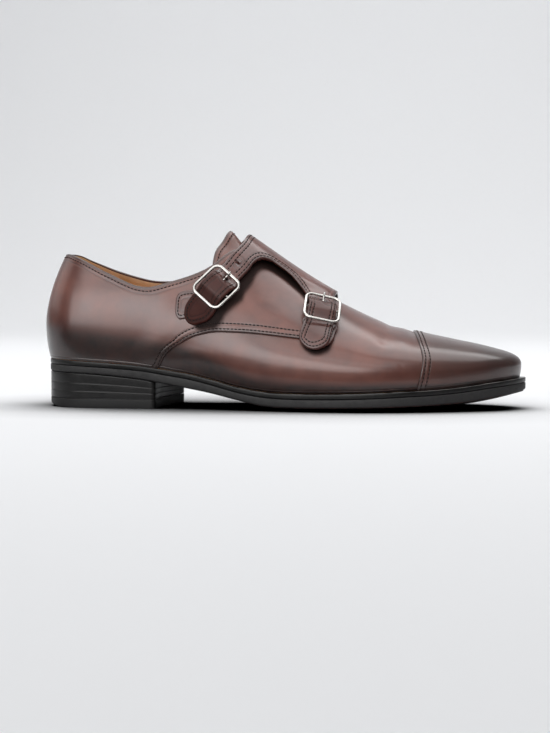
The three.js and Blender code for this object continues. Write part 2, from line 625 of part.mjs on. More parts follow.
const SOLE_STATIONS = [0, 0.01, 0.025, 0.05, 0.08, 0.11, ...spread(0.15, 0.86, 18),
  0.89, 0.92, 0.945, 0.97, 0.985, 1];

/** Point of the outline at u, moved outwards by `grow` millimetres; side is -1 or 1. */
function edgePoint(u, side, grow) {
  const c = sectionAt(u, side);
  const reach = c.reach + grow(c.edgeX);
  return new THREE.Vector2(c.sx + c.dir[0] * reach, c.sy + c.dir[1] * reach);
}

/** A slab over the whole outline; low and high give its faces' heights at x, and part is 0 to 1 across. */
function slab(stations, parts, grow, low, high) {
  const surface = (height) => stations.map((u) => {
    const a = edgePoint(u, -1, grow);
    const b = edgePoint(u, 1, grow);
    return parts.map((part) => {
      const x = a.x + (b.x - a.x) * part;
      return new THREE.Vector3(x, a.y + (b.y - a.y) * part, height(x, part));
    });
  });
  return sheet(surface(high), surface(low));
}

const outsoleTop = (x) => seatHeight(x) - 2 * GAP - WELT.thickness;

function makeOutsole() {
  const parts = [0, 0.06, 0.16, 0.3, 0.5, 0.7, 0.84, 0.94, 1];
  const rounding = (part) => smooth(Math.min(part, 1 - part) / 0.3);
  const low = (x, part) => THREE.MathUtils.lerp(edgeHeight(x), treadHeight(x), rounding(part));
  return slab(SOLE_STATIONS, parts, sheetOut, low, outsoleTop);
}

function makeWelt() {
  const parts = [0, 1];
  const top = (x) => seatHeight(x) - GAP;
  const bottom = (x) => top(x) - WELT.thickness;
  const outer = toSolid(slab(SOLE_STATIONS, parts, sheetOut, bottom, top));
  const past = 5; // the cut reaches past both faces
  const hole = toSolid(slab(SOLE_STATIONS, parts, () => -WELT.inset, (x) => bottom(x) - past,
    (x) => top(x) + past));
  return toGeometry(outer.subtract(hole));
}

const makeInsole = () => slab(SOLE_STATIONS, [0, 0.2, 0.5, 0.8, 1], () => -INSOLE.inset,
  (x) => outsoleTop(x) + GAP, (x) => seatHeight(x) + INSOLE.rise);

/** A layer of the heel: the back of the sole's outline, cut off by a hollow and slanted front face. */
function heelBlock(low, high) {
  const back = SOLE_STATIONS.filter((u) => u < HEEL_FRONT.until);
  const full = toSolid(slab(back, [0, 0.25, 0.5, 0.75, 1], () => 0, low, high));
  const { outer, inner, hollow, edge } = HEEL_FRONT;
  const face = new THREE.SplineCurve([new THREE.Vector2(outer, -edge),
    new THREE.Vector2((outer + inner) / 2 - hollow, 0), new THREE.Vector2(inner, edge)]).getPoints(8);
  const past = edge + 20;
  const shape = new THREE.Shape([
    new THREE.Vector2(outer - 4, -past), ...face, new THREE.Vector2(inner + 4, past),
    new THREE.Vector2(OUTER_FAR * 2, past), new THREE.Vector2(OUTER_FAR * 2, -past)]);
  const ahead = new THREE.ExtrudeGeometry(shape, { depth: OUTER_FAR, bevelEnabled: false });
  return toGeometry(full.subtract(toSolid(ahead.translate(0, 0, -OUTER_FAR / 4))));
}

/** How much is worn off the tread at x. */
function heelWear(x) {
  const left = THREE.MathUtils.clamp(1 - (x - HEEL_WEAR.from) / HEEL_WEAR.over, 0, 1);
  return HEEL_WEAR.depth * left * left;
}

const makeHeelStack = () => heelBlock(() => TOP_PIECE_THICKNESS + GAP, (x) => treadHeight(x) - GAP);
const makeTopPiece = () => heelBlock(heelWear, () => TOP_PIECE_THICKNESS);

// ---- assembly -----------------------------------------------------------------------------------

const shoe = new THREE.Group();

function add(name, geometry, finish) {
  const material = new THREE.MeshStandardMaterial({ metalness: 0, ...PALETTE[finish] });
  const mesh = new THREE.Mesh(geometry, material);
  mesh.name = name;
  shoe.add(mesh);
}

add("outsole", makeOutsole(), "edge");
add("welt", makeWelt(), "edge");
add("heel_stack", makeHeelStack(), "edge");
add("heel_top_piece", makeTopPiece(), "rubber");
add("insole", makeInsole(), "insoleLeather");
add("upper", makeUpper(), "leather");
add("toe_cap", makeToeCap(), "capLeather");
add("tongue", makeTongue(), "tongueLeather");
add("monk_strap_flap", makeFlap(), "strapLeather");
add("buckle_tab_rear", makeTab(REAR_TAB), "leather");
add("buckle_tab_front", makeTab(FRONT_TAB), "leather");
BUCKLES.forEach(({ name }, i) => {
  add(`buckle_frame_${name}`, makeBuckle(FRAMES[i]), "silver");
  add(`buckle_prong_${name}`, makeProng(FRAMES[i]), "silver");
});

const box = new THREE.Box3().setFromObject(shoe);
const middle = box.getCenter(new THREE.Vector3());
shoe.position.set(-middle.x, -middle.y, -box.min.z);

export default shoe;
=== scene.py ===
import logging
import math
from dataclasses import dataclass, field
from enum import Enum
from typing import Callable, Sequence

import bmesh
import bpy
import numpy as np
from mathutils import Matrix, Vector
from mathutils.geometry import delaunay_2d_cdt


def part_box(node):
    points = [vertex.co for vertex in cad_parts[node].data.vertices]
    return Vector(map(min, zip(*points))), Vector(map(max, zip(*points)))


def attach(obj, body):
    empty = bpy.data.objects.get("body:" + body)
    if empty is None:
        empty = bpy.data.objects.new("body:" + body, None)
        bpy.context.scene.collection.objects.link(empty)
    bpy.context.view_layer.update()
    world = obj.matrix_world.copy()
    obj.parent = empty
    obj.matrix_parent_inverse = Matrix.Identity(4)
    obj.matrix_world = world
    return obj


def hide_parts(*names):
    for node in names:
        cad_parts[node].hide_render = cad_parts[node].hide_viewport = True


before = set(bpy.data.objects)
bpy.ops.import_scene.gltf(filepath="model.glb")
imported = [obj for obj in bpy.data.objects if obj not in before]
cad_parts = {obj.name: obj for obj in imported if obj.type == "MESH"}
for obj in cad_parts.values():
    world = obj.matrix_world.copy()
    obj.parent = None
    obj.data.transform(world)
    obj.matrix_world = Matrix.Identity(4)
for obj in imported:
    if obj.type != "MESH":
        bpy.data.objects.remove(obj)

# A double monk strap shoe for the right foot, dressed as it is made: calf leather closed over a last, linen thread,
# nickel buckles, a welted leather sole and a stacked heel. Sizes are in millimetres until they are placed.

LOG = logging.getLogger("shoe")
MM = 0.001
Array = np.ndarray
Reading = Callable[[Array], Array]  # a size at places x along the shoe
Heights = Callable[[Array, Array], Array]  # a size at places (u, v), or at x and part across
Faces = list[list[int]]
Colour = tuple[float, float, float, float]

# Sections of the last from the back of the heel (u 0) to the tip of the toe (u 1). The columns are: u; the spine's x
# and y; the sole edge's x and y on the outer side, then on the inner side; how far the widest point stands out, outer
# and inner; its rise over the edge, outer and inner; the crest; and two fullnesses of the curve up to the crest.
# Places along and crests are parts of the last's length and instep, places across are parts of its ball width.
SECTIONS = np.array([
    [0.00, 0.122, 0.011, 0.009, 0.011, 0.009, 0.011, 2.8, 2.8, 21, 21, 1.000, 0.36, 0.42],
    [0.05, 0.122, 0.011, 0.022, -0.170, 0.022, 0.198, 2.6, 2.6, 21, 21, 1.000, 0.37, 0.42],
    [0.11, 0.126, 0.011, 0.075, -0.313, 0.068, 0.335, 2.2, 2.2, 20, 21, 1.000, 0.40, 0.42],
    [0.19, 0.170, 0.005, 0.170, -0.346, 0.163, 0.357, 2.0, 2.0, 19, 22, 1.000, 0.43, 0.40],
    [0.28, 0.272, 0.000, 0.272, -0.352, 0.272, 0.319, 3.0, 2.0, 19, 24, 0.992, 0.43, 0.36],
    [0.37, 0.374, 0.000, 0.374, -0.379, 0.374, 0.297, 4.5, 2.5, 18, 24, 0.950, 0.40, 0.32],
    [0.46, 0.476, 0.005, 0.476, -0.440, 0.476, 0.341, 4.5, 3.0, 16, 20, 0.798, 0.40, 0.34],
    [0.55, 0.578, 0.011, 0.578, -0.495, 0.578, 0.434, 3.5, 3.0, 14, 16, 0.630, 0.42, 0.36],
    [0.64, 0.673, 0.016, 0.673, -0.511, 0.673, 0.495, 2.5, 3.0, 12, 14, 0.504, 0.46, 0.42],
    [0.72, 0.755, 0.022, 0.755, -0.478, 0.755, 0.495, 2.0, 2.5, 11, 12, 0.420, 0.50, 0.50],
    [0.80, 0.837, 0.022, 0.837, -0.396, 0.837, 0.423, 1.8, 2.0, 10, 11, 0.370, 0.54, 0.54],
    [0.87, 0.891, 0.022, 0.912, -0.297, 0.912, 0.330, 1.6, 1.8, 9, 9, 0.342, 0.56, 0.56],
    [0.94, 0.891, 0.022, 0.976, -0.170, 0.976, 0.203, 1.4, 1.5, 8, 8, 0.342, 0.56, 0.56],
    [1.00, 0.891, 0.022, 1.008, 0.022, 1.008, 0.022, 1.2, 1.2, 8, 8, 0.342, 0.56, 0.56],
])
# Heights along the sole: x, the upper's lower edge, the outsole's lower rim, its middle, and how far it stands out.
SOLE_LINE = np.array([
    [0, 30.4, 22.4, 22.4, 0.2], [35, 28.9, 21.2, 21.2, 0.3], [66, 26.6, 18.1, 18.1, 0.6], [82, 24.2, 15.3, 15.0, 1.1],
    [97, 21.8, 12.7, 12.0, 1.7], [111, 18.6, 10.1, 9.0, 2.3], [127, 14.5, 6.5, 4.6, 3.1], [143, 11.9, 3.3, 1.0, 3.8],
    [158, 11.0, 2.4, 0.0, 4.2], [185, 11.1, 2.5, 0.0, 4.4], [212, 11.9, 3.0, 0.0, 4.4], [230, 12.8, 3.6, 0.9, 4.4],
    [248, 13.7, 4.4, 1.9, 4.5], [264, 15.2, 5.6, 3.4, 4.6], [280, 17.4, 8.0, 6.2, 4.8], [297, 19.4, 11.2, 10.2, 5.0],
    [306, 20.2, 12.8, 12.4, 5.0],
])
# The rim of collar and throat: u, then how far it lies from the crest on the outer and on the inner side.
RIM = np.array([
    [0.000, 0.340, 0.340], [0.062, 0.340, 0.345], [0.115, 0.370, 0.385], [0.173, 0.434, 0.441], [0.223, 0.484, 0.478],
    [0.252, 0.490, 0.482], [0.281, 0.466, 0.468], [0.334, 0.405, 0.400], [0.370, 0.332, 0.320], [0.400, 0.215, 0.215],
    [0.430, 0.110, 0.120], [0.470, 0.060, 0.070], [0.530, 0.030, 0.040], [0.565, 0.000, 0.000],
])
# Edges of the pattern pieces as places (u, v) on the last; v is -1 on the outer edge of the sole and 0 on the crest.
SEAM_OUTER = [(0.271, -1.0), (0.277, -0.955), (0.284, -0.874), (0.293, -0.803), (0.306, -0.745), (0.320, -0.702),
              (0.335, -0.673), (0.352, -0.648), (0.380, -0.614), (0.423, -0.577), (0.459, -0.551), (0.493, -0.532),
              (0.530, -0.515), (0.563, -0.499)]
SEAM_HIDDEN = [(0.576, -0.46), (0.583, -0.38), (0.585, -0.28), (0.584, -0.18), (0.580, -0.09), (0.572, -0.03)]
SEAM_INNER = [(0.272, 1.0), (0.280, 0.85), (0.296, 0.74), (0.322, 0.67), (0.358, 0.62), (0.40, 0.585), (0.45, 0.55),
              (0.50, 0.51), (0.545, 0.45), (0.574, 0.36), (0.586, 0.25), (0.591, 0.12)]
CAP_EDGE = [(0.753, 0.0), (0.767, -0.262), (0.775, -0.407), (0.779, -0.531), (0.777, -0.664), (0.770, -0.898),
            (0.768, -1.0)]
FLAP_REAR = [(0.421, 0.0), (0.418, -0.125), (0.411, -0.195), (0.401, -0.257), (0.391, -0.313)]
FLAP_ARCH = [(0.422, -0.352), (0.436, -0.284), (0.443, -0.231), (0.451, -0.188), (0.461, -0.158), (0.476, -0.142),
             (0.502, -0.150), (0.526, -0.186), (0.540, -0.229)]
FLAP_INNER_REAR = [(0.419, 0.05), (0.412, 0.12), (0.398, 0.2), (0.375, 0.285)]
REAR_TAB = [(0.350, -0.468), (0.334, -0.474), (0.315, -0.491), (0.308, -0.515), (0.307, -0.553), (0.308, -0.586),
            (0.315, -0.604), (0.327, -0.596), (0.350, -0.588), (0.375, -0.55), (0.385, -0.49), (0.37, -0.45)]
FRONT_TAB = [(0.545, -0.38), (0.545, -0.46), (0.554, -0.515), (0.570, -0.535), (0.588, -0.525), (0.599, -0.490),
             (0.604, -0.430), (0.602, -0.36)]
FLAP_FRONT = [(0.5895, -0.13), (0.5905, -0.06), (0.591, 0.02)]
# How far along the tongue's rear edge lies, by how far it is from the crest.
TONGUE_TIP = np.array([[0.0, 0.392], [0.135, 0.385], [0.231, 0.373], [0.29, 0.3695], [0.33, 0.3685]])
# How far from an edge its two rows of stitches run, in millimetres: on seams, on the toe cap and on straps.
SEAM_ROWS = (1.2, 3.4)
CAP_ROWS = (1.7, 4.3)
STRAP_ROWS = (1.3, 3.2)


@dataclass(frozen=True)
class Crease:
    """A soft trough in the leather, or a ridge where its depth is below zero; sizes in millimetres."""

    line: tuple[tuple[float, float], ...]
    depth: float
    width: float


# Where walking and taking the shoe off have marked the leather: across the vamp behind the cap, under the arch of the
# flap, a scratch near the cap, and around the spare hole of the rear strap.
CREASES = (
    Crease(((0.700, 0.36), (0.704, 0.12), (0.704, -0.12), (0.700, -0.36)), 0.55, 4.2),
    Crease(((0.736, 0.30), (0.735, 0.0), (0.737, -0.30)), -0.30, 4.0),
    Crease(((0.441, -0.429), (0.459, -0.402), (0.480, -0.389)), 0.07, 1.3),
    Crease(((0.449, -0.445), (0.470, -0.415), (0.494, -0.403)), 0.07, 1.3),
    Crease(((0.436, -0.406), (0.454, -0.378), (0.472, -0.363)), 0.05, 1.2),
    Crease(((0.735, -0.600), (0.745, -0.670), (0.753, -0.736)), 0.10, 0.9),
)
STRAP_CREASES = (
    Crease(((0.399, -0.290), (0.414, -0.288)), 0.22, 1.1),
    Crease(((0.400, -0.308), (0.412, -0.309)), 0.18, 1.0),
    Crease(((0.421, -0.281), (0.431, -0.276)), 0.18, 1.1),
    Crease(((0.406, -0.268), (0.416, -0.256)), 0.22, 1.0),
)


class Side(Enum):
    """The two sides of a right shoe, as the sign of v."""

    OUTER = -1
    INNER = 1


# ---- curves and fields -----------------------------------------------------------------------------------------------


def smooth(x: Array | float) -> Array:
    """A soft step from 0 to 1 while x runs from 0 to 1."""
    t = np.clip(x, 0.0, 1.0)
    return t * t * (3 - 2 * t)


def hermite(p0: Array, m0: Array, p1: Array, m1: Array, h: Array, s: Array) -> Array:
    """Cubic between two values with given slopes.

    Args:
        p0, m0: value and slope at the start.
        p1, m1: value and slope at the end.
        h: length of the stretch.
        s: place in it, 0 to 1.

    Returns:
        The values at s.
    """
    s2, s3 = s * s, s * s * s
    return (2 * s3 - 3 * s2 + 1) * p0 + (s3 - 2 * s2 + s) * m0 * h + (3 * s2 - 2 * s3) * p1 + (s3 - s2) * m1 * h


@dataclass
class Profile:
    """A smooth reading of one measured quantity along the shoe, level where two readings are equal."""

    at: Array
    values: Array

    def __call__(self, where: Array) -> Array:
        """Read the quantity.

        Args:
            where: the places.

        Returns:
            The quantity at each.
        """
        place = np.clip(where, self.at[0], self.at[-1])
        i = np.clip(np.searchsorted(self.at, place) - 1, 0, len(self.at) - 2)
        low = np.maximum(np.arange(len(self.at)) - 1, 0)
        high = np.minimum(np.arange(len(self.at)) + 1, len(self.at) - 1)
        slope = (self.values[high] - self.values[low]) / (self.at[high] - self.at[low])
        h = self.at[i + 1] - self.at[i]
        found = hermite(self.values[i], slope[i], self.values[i + 1], slope[i + 1], h, (place - self.at[i]) / h)
        return np.where(self.values[i] == self.values[i + 1], self.values[i], found)


def spline(points: Sequence[Sequence[float]], parts: int = 6, closed: bool = False) -> Array:
    """A smooth curve through points.

    Args:
        points: the places it goes through.
        parts: steps between two of them.
        closed: whether it runs back to its start.

    Returns:
        Its points, without a repeated end when closed.
    """
    p = np.array(points, float)
    n = len(p)
    out = []
    for i in range(n if closed else n - 1):
        near = [(i + k) % n if closed else min(max(i + k, 0), n - 1) for k in (-1, 0, 1, 2)]
        a, b, c, d = p[near]
        for t in np.arange(parts) / parts:
            out.append(0.5 * (2 * b + (c - a) * t + (2 * a - 5 * b + 4 * c - d) * t * t
                              + (3 * b - a - 3 * c + d) * t ** 3))
    if not closed:
        out.append(p[-1])
    return np.array(out)


def resample(line: Array, pitch: float, closed: bool = False) -> Array:
    """Evenly spaced points along a line.

    Args:
        line: its points.
        pitch: the spacing aimed at.
        closed: whether the line runs back to its start.

    Returns:
        The new points; both ends are kept on an open line.
    """
    path = np.vstack([line, line[:1]]) if closed else line
    along = np.append(0, np.cumsum(np.linalg.norm(np.diff(path, axis=0), axis=1)))
    count = max(2, int(round(along[-1] / pitch)))
    at = np.linspace(0, along[-1], count + 1)
    made = np.stack([np.interp(at, along, path[:, k]) for k in range(path.shape[1])], 1)
    return made[:-1] if closed else made


def distance(points: Array, line: Array, closed: bool = False) -> Array:
    """How far points lie from a line in the flat pattern.

    Args:
        points: places in the flat.
        line: points of the line.
        closed: whether it runs back to its start.

    Returns:
        One distance for each place.
    """
    ends = np.roll(line, -1, 0) if closed else line[1:]
    starts = line if closed else line[:-1]
    best = np.full(len(points), 1e9)
    for a, b in zip(starts, ends):
        d = b - a
        t = np.clip(((points - a) @ d) / max(d @ d, 1e-12), 0, 1)
        best = np.minimum(best, np.hypot(*(points - a - t[:, None] * d).T))
    return best


def inside(points: Array, loop: Array) -> Array:
    """Find the places inside a closed loop of the flat.

    Args:
        points: the places.
        loop: the points of the loop.

    Returns:
        True for each place inside.
    """
    x, y = points.T
    found = np.zeros(len(points), bool)
    for (ax, ay), (bx, by) in zip(loop, np.roll(loop, -1, 0)):
        crosses = (ay > y) != (by > y)
        if crosses.any() and ay != by:
            found ^= crosses & (x < (bx - ax) * (y - ay) / (by - ay) + ax)
    return found


def inward(loop: Array, amount: float) -> Array:
    """Draw a closed loop in towards its own inside.

    Args:
        loop: its points.
        amount: how far.

    Returns:
        The new loop.
    """
    turn = np.sum(loop[:, 0] * np.roll(loop[:, 1], -1) - np.roll(loop[:, 0], -1) * loop[:, 1])
    t = np.roll(loop, -1, 0) - np.roll(loop, 1, 0)
    t /= np.maximum(np.linalg.norm(t, axis=1, keepdims=True), 1e-9)
    return loop + np.sign(turn) * amount * np.stack([-t[:, 1], t[:, 0]], 1)


def beside(line: Array, amount: float) -> Array:
    """Move an open line to its own left.

    Args:
        line: its points.
        amount: how far; to its right where it is below zero.

    Returns:
        The new line.
    """
    t = np.gradient(line, axis=0)
    t /= np.maximum(np.linalg.norm(t, axis=1, keepdims=True), 1e-9)
    return line + amount * np.stack([-t[:, 1], t[:, 0]], 1)


# ---- the last --------------------------------------------------------------------------------------------------------


@dataclass
class Last:
    """The form inside the shoe, which every leather follows; its flat pattern is in near-true millimetres."""

    length: float = 294.0
    ball_width: float = 91.0
    instep: float = 119.0
    belly_part: float = 0.3
    fan_start: float = 0.8
    pivot: float = 0.87
    toe_fall: float = -0.155
    flat_length: float = 305.0
    flat_at: tuple[float, ...] = (0.0, 0.37, 0.46, 0.55, 0.64, 0.72, 0.80, 0.87, 1.0)
    flat_width: tuple[float, ...] = (103, 105, 98, 87, 78, 69.5, 58.5, 49, 49)
    shift: Array = field(default_factory=lambda: np.zeros(3))

    def __post_init__(self) -> None:
        """Fit one smooth closed curve through the half sections, around the sole from heel to toe and back."""
        s, size = SECTIONS, (self.length, self.ball_width)
        half = {side: np.stack([s[:, 1] * size[0], s[:, 2] * size[1], s[:, k] * size[0], s[:, k + 1] * size[1],
                                s[:, b], s[:, b + 2], s[:, 11] * self.instep, s[:, 12], s[:, 13]], 1)
                for side, k, b in ((Side.OUTER, 3, 7), (Side.INNER, 5, 8))}
        self.at = np.append(s[:, 0], (2 - s[1:-1, 0])[::-1])
        self.rows = np.vstack([half[Side.OUTER], half[Side.INNER][1:-1][::-1]])
        self.toe_row = half[Side.OUTER][-1]
        self.step = np.diff(np.append(self.at, 2.0))
        before, n = np.roll(self.step, 1), len(self.at)
        i = np.arange(n)
        matrix = np.zeros((n, n))
        matrix[i, i - 1] += 1 / before
        matrix[i, i] += 2 / before + 2 / self.step
        matrix[i, (i + 1) % n] += 1 / self.step
        rise = np.roll(self.rows, -1, 0) - self.rows
        right = 3 * (np.roll(rise, 1, 0) / before[:, None] ** 2 + rise / self.step[:, None] ** 2)
        self.slopes = np.linalg.solve(matrix, right)
        x = SOLE_LINE[:, 0]
        self.seat, self.edge, self.tread, self.out = (Profile(x, SOLE_LINE[:, k]) for k in (1, 2, 3, 4))
        self.rim = {Side.OUTER: Profile(RIM[:, 0], RIM[:, 1]), Side.INNER: Profile(RIM[:, 0], RIM[:, 2])}

    def section(self, u: Array, v: Array) -> Array:
        """Read the half section at places on the last.

        Args:
            u, v: the places.

        Returns:
            Its nine sizes at each.
        """
        t = np.where(v <= 0, u, (2 - u) % 2)
        i = np.clip(np.searchsorted(self.at, t, side="right") - 1, 0, len(self.at) - 1)
        j = (i + 1) % len(self.at)
        h = self.step[i][:, None]
        row = hermite(self.rows[i], self.slopes[i], self.rows[j], self.slopes[j], h, (t - self.at[i])[:, None] / h)
        fixed = u >= self.pivot
        for column in (0, 1, 6):
            row[:, column] = np.where(fixed, self.toe_row[column], row[:, column])
        return row

    def point(self, u: Array, v: Array) -> Array:
        """Find points of the last.

        Args:
            u, v: the places.

        Returns:
            The points, in millimetres.
        """
        sx, sy, ex, ey, belly, rise, crest, full, shoulder = self.section(u, v).T
        seat = self.seat(ex)
        reach = np.hypot(ex - sx, ey - sy)
        wide, wide_z = reach + belly, seat + rise
        s = 1 - np.abs(v)
        low = s < self.belly_part
        k = np.where(low, s / self.belly_part, (s - self.belly_part) / (1 - self.belly_part))
        r = np.stack([np.where(low, reach, wide), np.where(low, reach + 0.62 * belly, wide),
                      np.where(low, wide, shoulder * wide), np.where(low, wide, 0)])
        z = np.stack([np.where(low, seat, wide_z), np.where(low, seat + 0.28 * rise, wide_z + full * (crest - wide_z)),
                      np.where(low, wide_z - 0.42 * rise, crest), np.where(low, wide_z, crest)])
        weight = np.stack([(1 - k) ** 3, 3 * k * (1 - k) ** 2, 3 * k * k * (1 - k), k ** 3])
        r, z = (weight * r).sum(0), (weight * z).sum(0)
        dx, dy = (ex - sx) / reach, (ey - sy) / reach
        up = np.clip((s - self.belly_part) / (1 - self.belly_part), 0, 1)
        fan = np.clip((u - self.fan_start) / (self.pivot - self.fan_start), 0, 1)
        return np.stack([sx + dx * r, sy + dy * r, z + self.toe_fall * dx * r * up * up * (3 - 2 * up) * fan], 1)

    def normal(self, u: Array, v: Array) -> Array:
        """Find the directions straight out of the last.

        Args:
            u, v: the places.

        Returns:
            A unit vector at each.
        """
        step = 1e-3
        u = np.where((np.abs(v) < 4 * step) & (u > self.pivot - step), self.pivot - 0.01, u)
        v = np.clip(v, step - 1, 1 - step)
        across = self.point(u, v + step) - self.point(u, v - step)
        ahead, behind = u + step, u - step
        along = (self.point(np.where(ahead > 1, 2 - ahead, ahead), np.where(ahead > 1, -v, v))
                 - self.point(np.abs(behind), np.where(behind < 0, -v, v)))
        n = np.cross(along, across)
        return n / np.linalg.norm(n, axis=1, keepdims=True)

    def width(self, u: Array) -> Array:
        """How wide a half section is in the flat."""
        return np.interp(u, self.flat_at, self.flat_width)

    def flat(self, places: Sequence[Sequence[float]] | Array) -> Array:
        """Lay places out in the flat pattern.

        Args:
            places: each as (u, v).

        Returns:
            The same places, in millimetres.
        """
        u, v = np.array(places, float).T
        turn = np.clip((u - self.pivot) / (1 - self.pivot), 0, 1) * math.pi / 2
        a = self.flat_length * np.minimum(u, self.pivot) + np.abs(v) * self.width(u) * np.sin(turn)
        return np.stack([a, v * self.width(u) * np.cos(turn)], 1)

    def unflat(self, ab: Array) -> tuple[Array, Array]:
        """Take places of the flat pattern back to the last.

        Args:
            ab: the places in the flat.

        Returns:
            u and v of each.
        """
        a, b = ab.T
        pole = self.flat_length * self.pivot
        past = np.maximum(a - pole, 0)
        u = np.where(past > 0, self.pivot + (1 - self.pivot) * np.arctan2(past, np.abs(b)) / (math.pi / 2),
                     a / self.flat_length)
        v = np.where(b > 0, 1, -1) * np.hypot(past, b) / self.width(u)
        return np.clip(u, 0, 1), np.clip(v, -1, 1)

    def lay(self, ab: Array, height: Array | float) -> Array:
        """Args: ab, places in the flat; height, over the last. Returns: the points in space, in millimetres."""
        u, v = self.unflat(ab)
        return self.point(u, v) + self.normal(u, v) * np.reshape(height, (-1, 1))

    def place(self, points: Array) -> Array:
        """Points of the last's own space, in metres in the row's frame."""
        return (points + self.shift) * MM

    def settle(self) -> None:
        """Find how far the last stands from the row's origin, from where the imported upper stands."""
        low, high = (np.array(corner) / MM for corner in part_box("upper"))
        u, v = (g.ravel() for g in np.meshgrid(np.linspace(0, 1, 241), np.linspace(-1, 1, 161)))
        own = self.point(u, v)
        self.shift = np.array([low[0] - own[:, 0].min(), (low[1] + high[1] - own[:, 1].min() - own[:, 1].max()) / 2, 0])

    def rim_line(self, side: Side, start: float, end: float, count: int = 40) -> Array:
        """Places (u, v) of the collar and throat rim on one side, from u start to u end."""
        u = np.linspace(start, end, count)
        return np.stack([u, side.value * self.rim[side](u)], 1)

    def sole_line(self, side: Side, start: float, end: float, count: int = 60) -> Array:
        """Places (u, v) of the last's lower edge on one side, from u start to u end."""
        u = np.linspace(start, end, count)
        return np.stack([u, np.full(count, side.value * 1.0)], 1)


# ---- meshes ----------------------------------------------------------------------------------------------------------


def new_mesh(name: str, points: Array, faces: Sequence[Sequence[int]], material: bpy.types.Material,
             values: dict[str, Array] | None = None) -> bpy.types.Object:
    """Make a smooth-shaded object.

    Args:
        name: the piece's name.
        points: its corners, in metres.
        faces: its faces, as corner numbers.
        material: its finish.
        values: named numbers, one for each corner, that the finish reads.

    Returns:
        The object.
    """
    mesh = bpy.data.meshes.new(name)
    mesh.from_pydata(points.tolist(), [], [list(map(int, f)) for f in faces])
    for key, numbers in (values or {}).items():
        mesh.attributes.new(key, "FLOAT", "POINT").data.foreach_set("value", np.asarray(numbers, np.float32))
    mesh.polygons.foreach_set("use_smooth", np.ones(len(mesh.polygons), bool))
    mesh.materials.append(material)
    mesh.update()
    made = bpy.data.objects.new(name, mesh)
    bpy.context.scene.collection.objects.link(made)
    return made


def finished(piece: bpy.types.Object, slot: str, *stands_for: str) -> bpy.types.Object:
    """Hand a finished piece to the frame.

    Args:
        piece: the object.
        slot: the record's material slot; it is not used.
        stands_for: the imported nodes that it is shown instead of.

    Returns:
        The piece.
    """
    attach(piece, "root")
    if stands_for:
        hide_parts(*stands_for)
    LOG.info("%s: %d faces", piece.name, len(piece.data.polygons))
    return piece


def strips(rings: int, around: int, closed_rings: bool = False, closed_around: bool = True) -> Faces:
    """Quads between rings of corners.

    Args:
        rings: how many rings there are.
        around: corners in each.
        closed_rings: whether the last ring joins the first.
        closed_around: whether each ring is closed.

    Returns:
        The faces.
    """
    made = []
    for i in range(rings if closed_rings else rings - 1):
        for j in range(around if closed_around else around - 1):
            k, m = (i + 1) % rings, (j + 1) % around
            made.append([i * around + j, k * around + j, k * around + m, i * around + m])
    return made


def caps(rings: int, around: int) -> Faces:
    """Args: rings and corners in each. Returns: the faces that close the first ring and the last."""
    return [list(range(around))[::-1], [(rings - 1) * around + k for k in range(around)]]


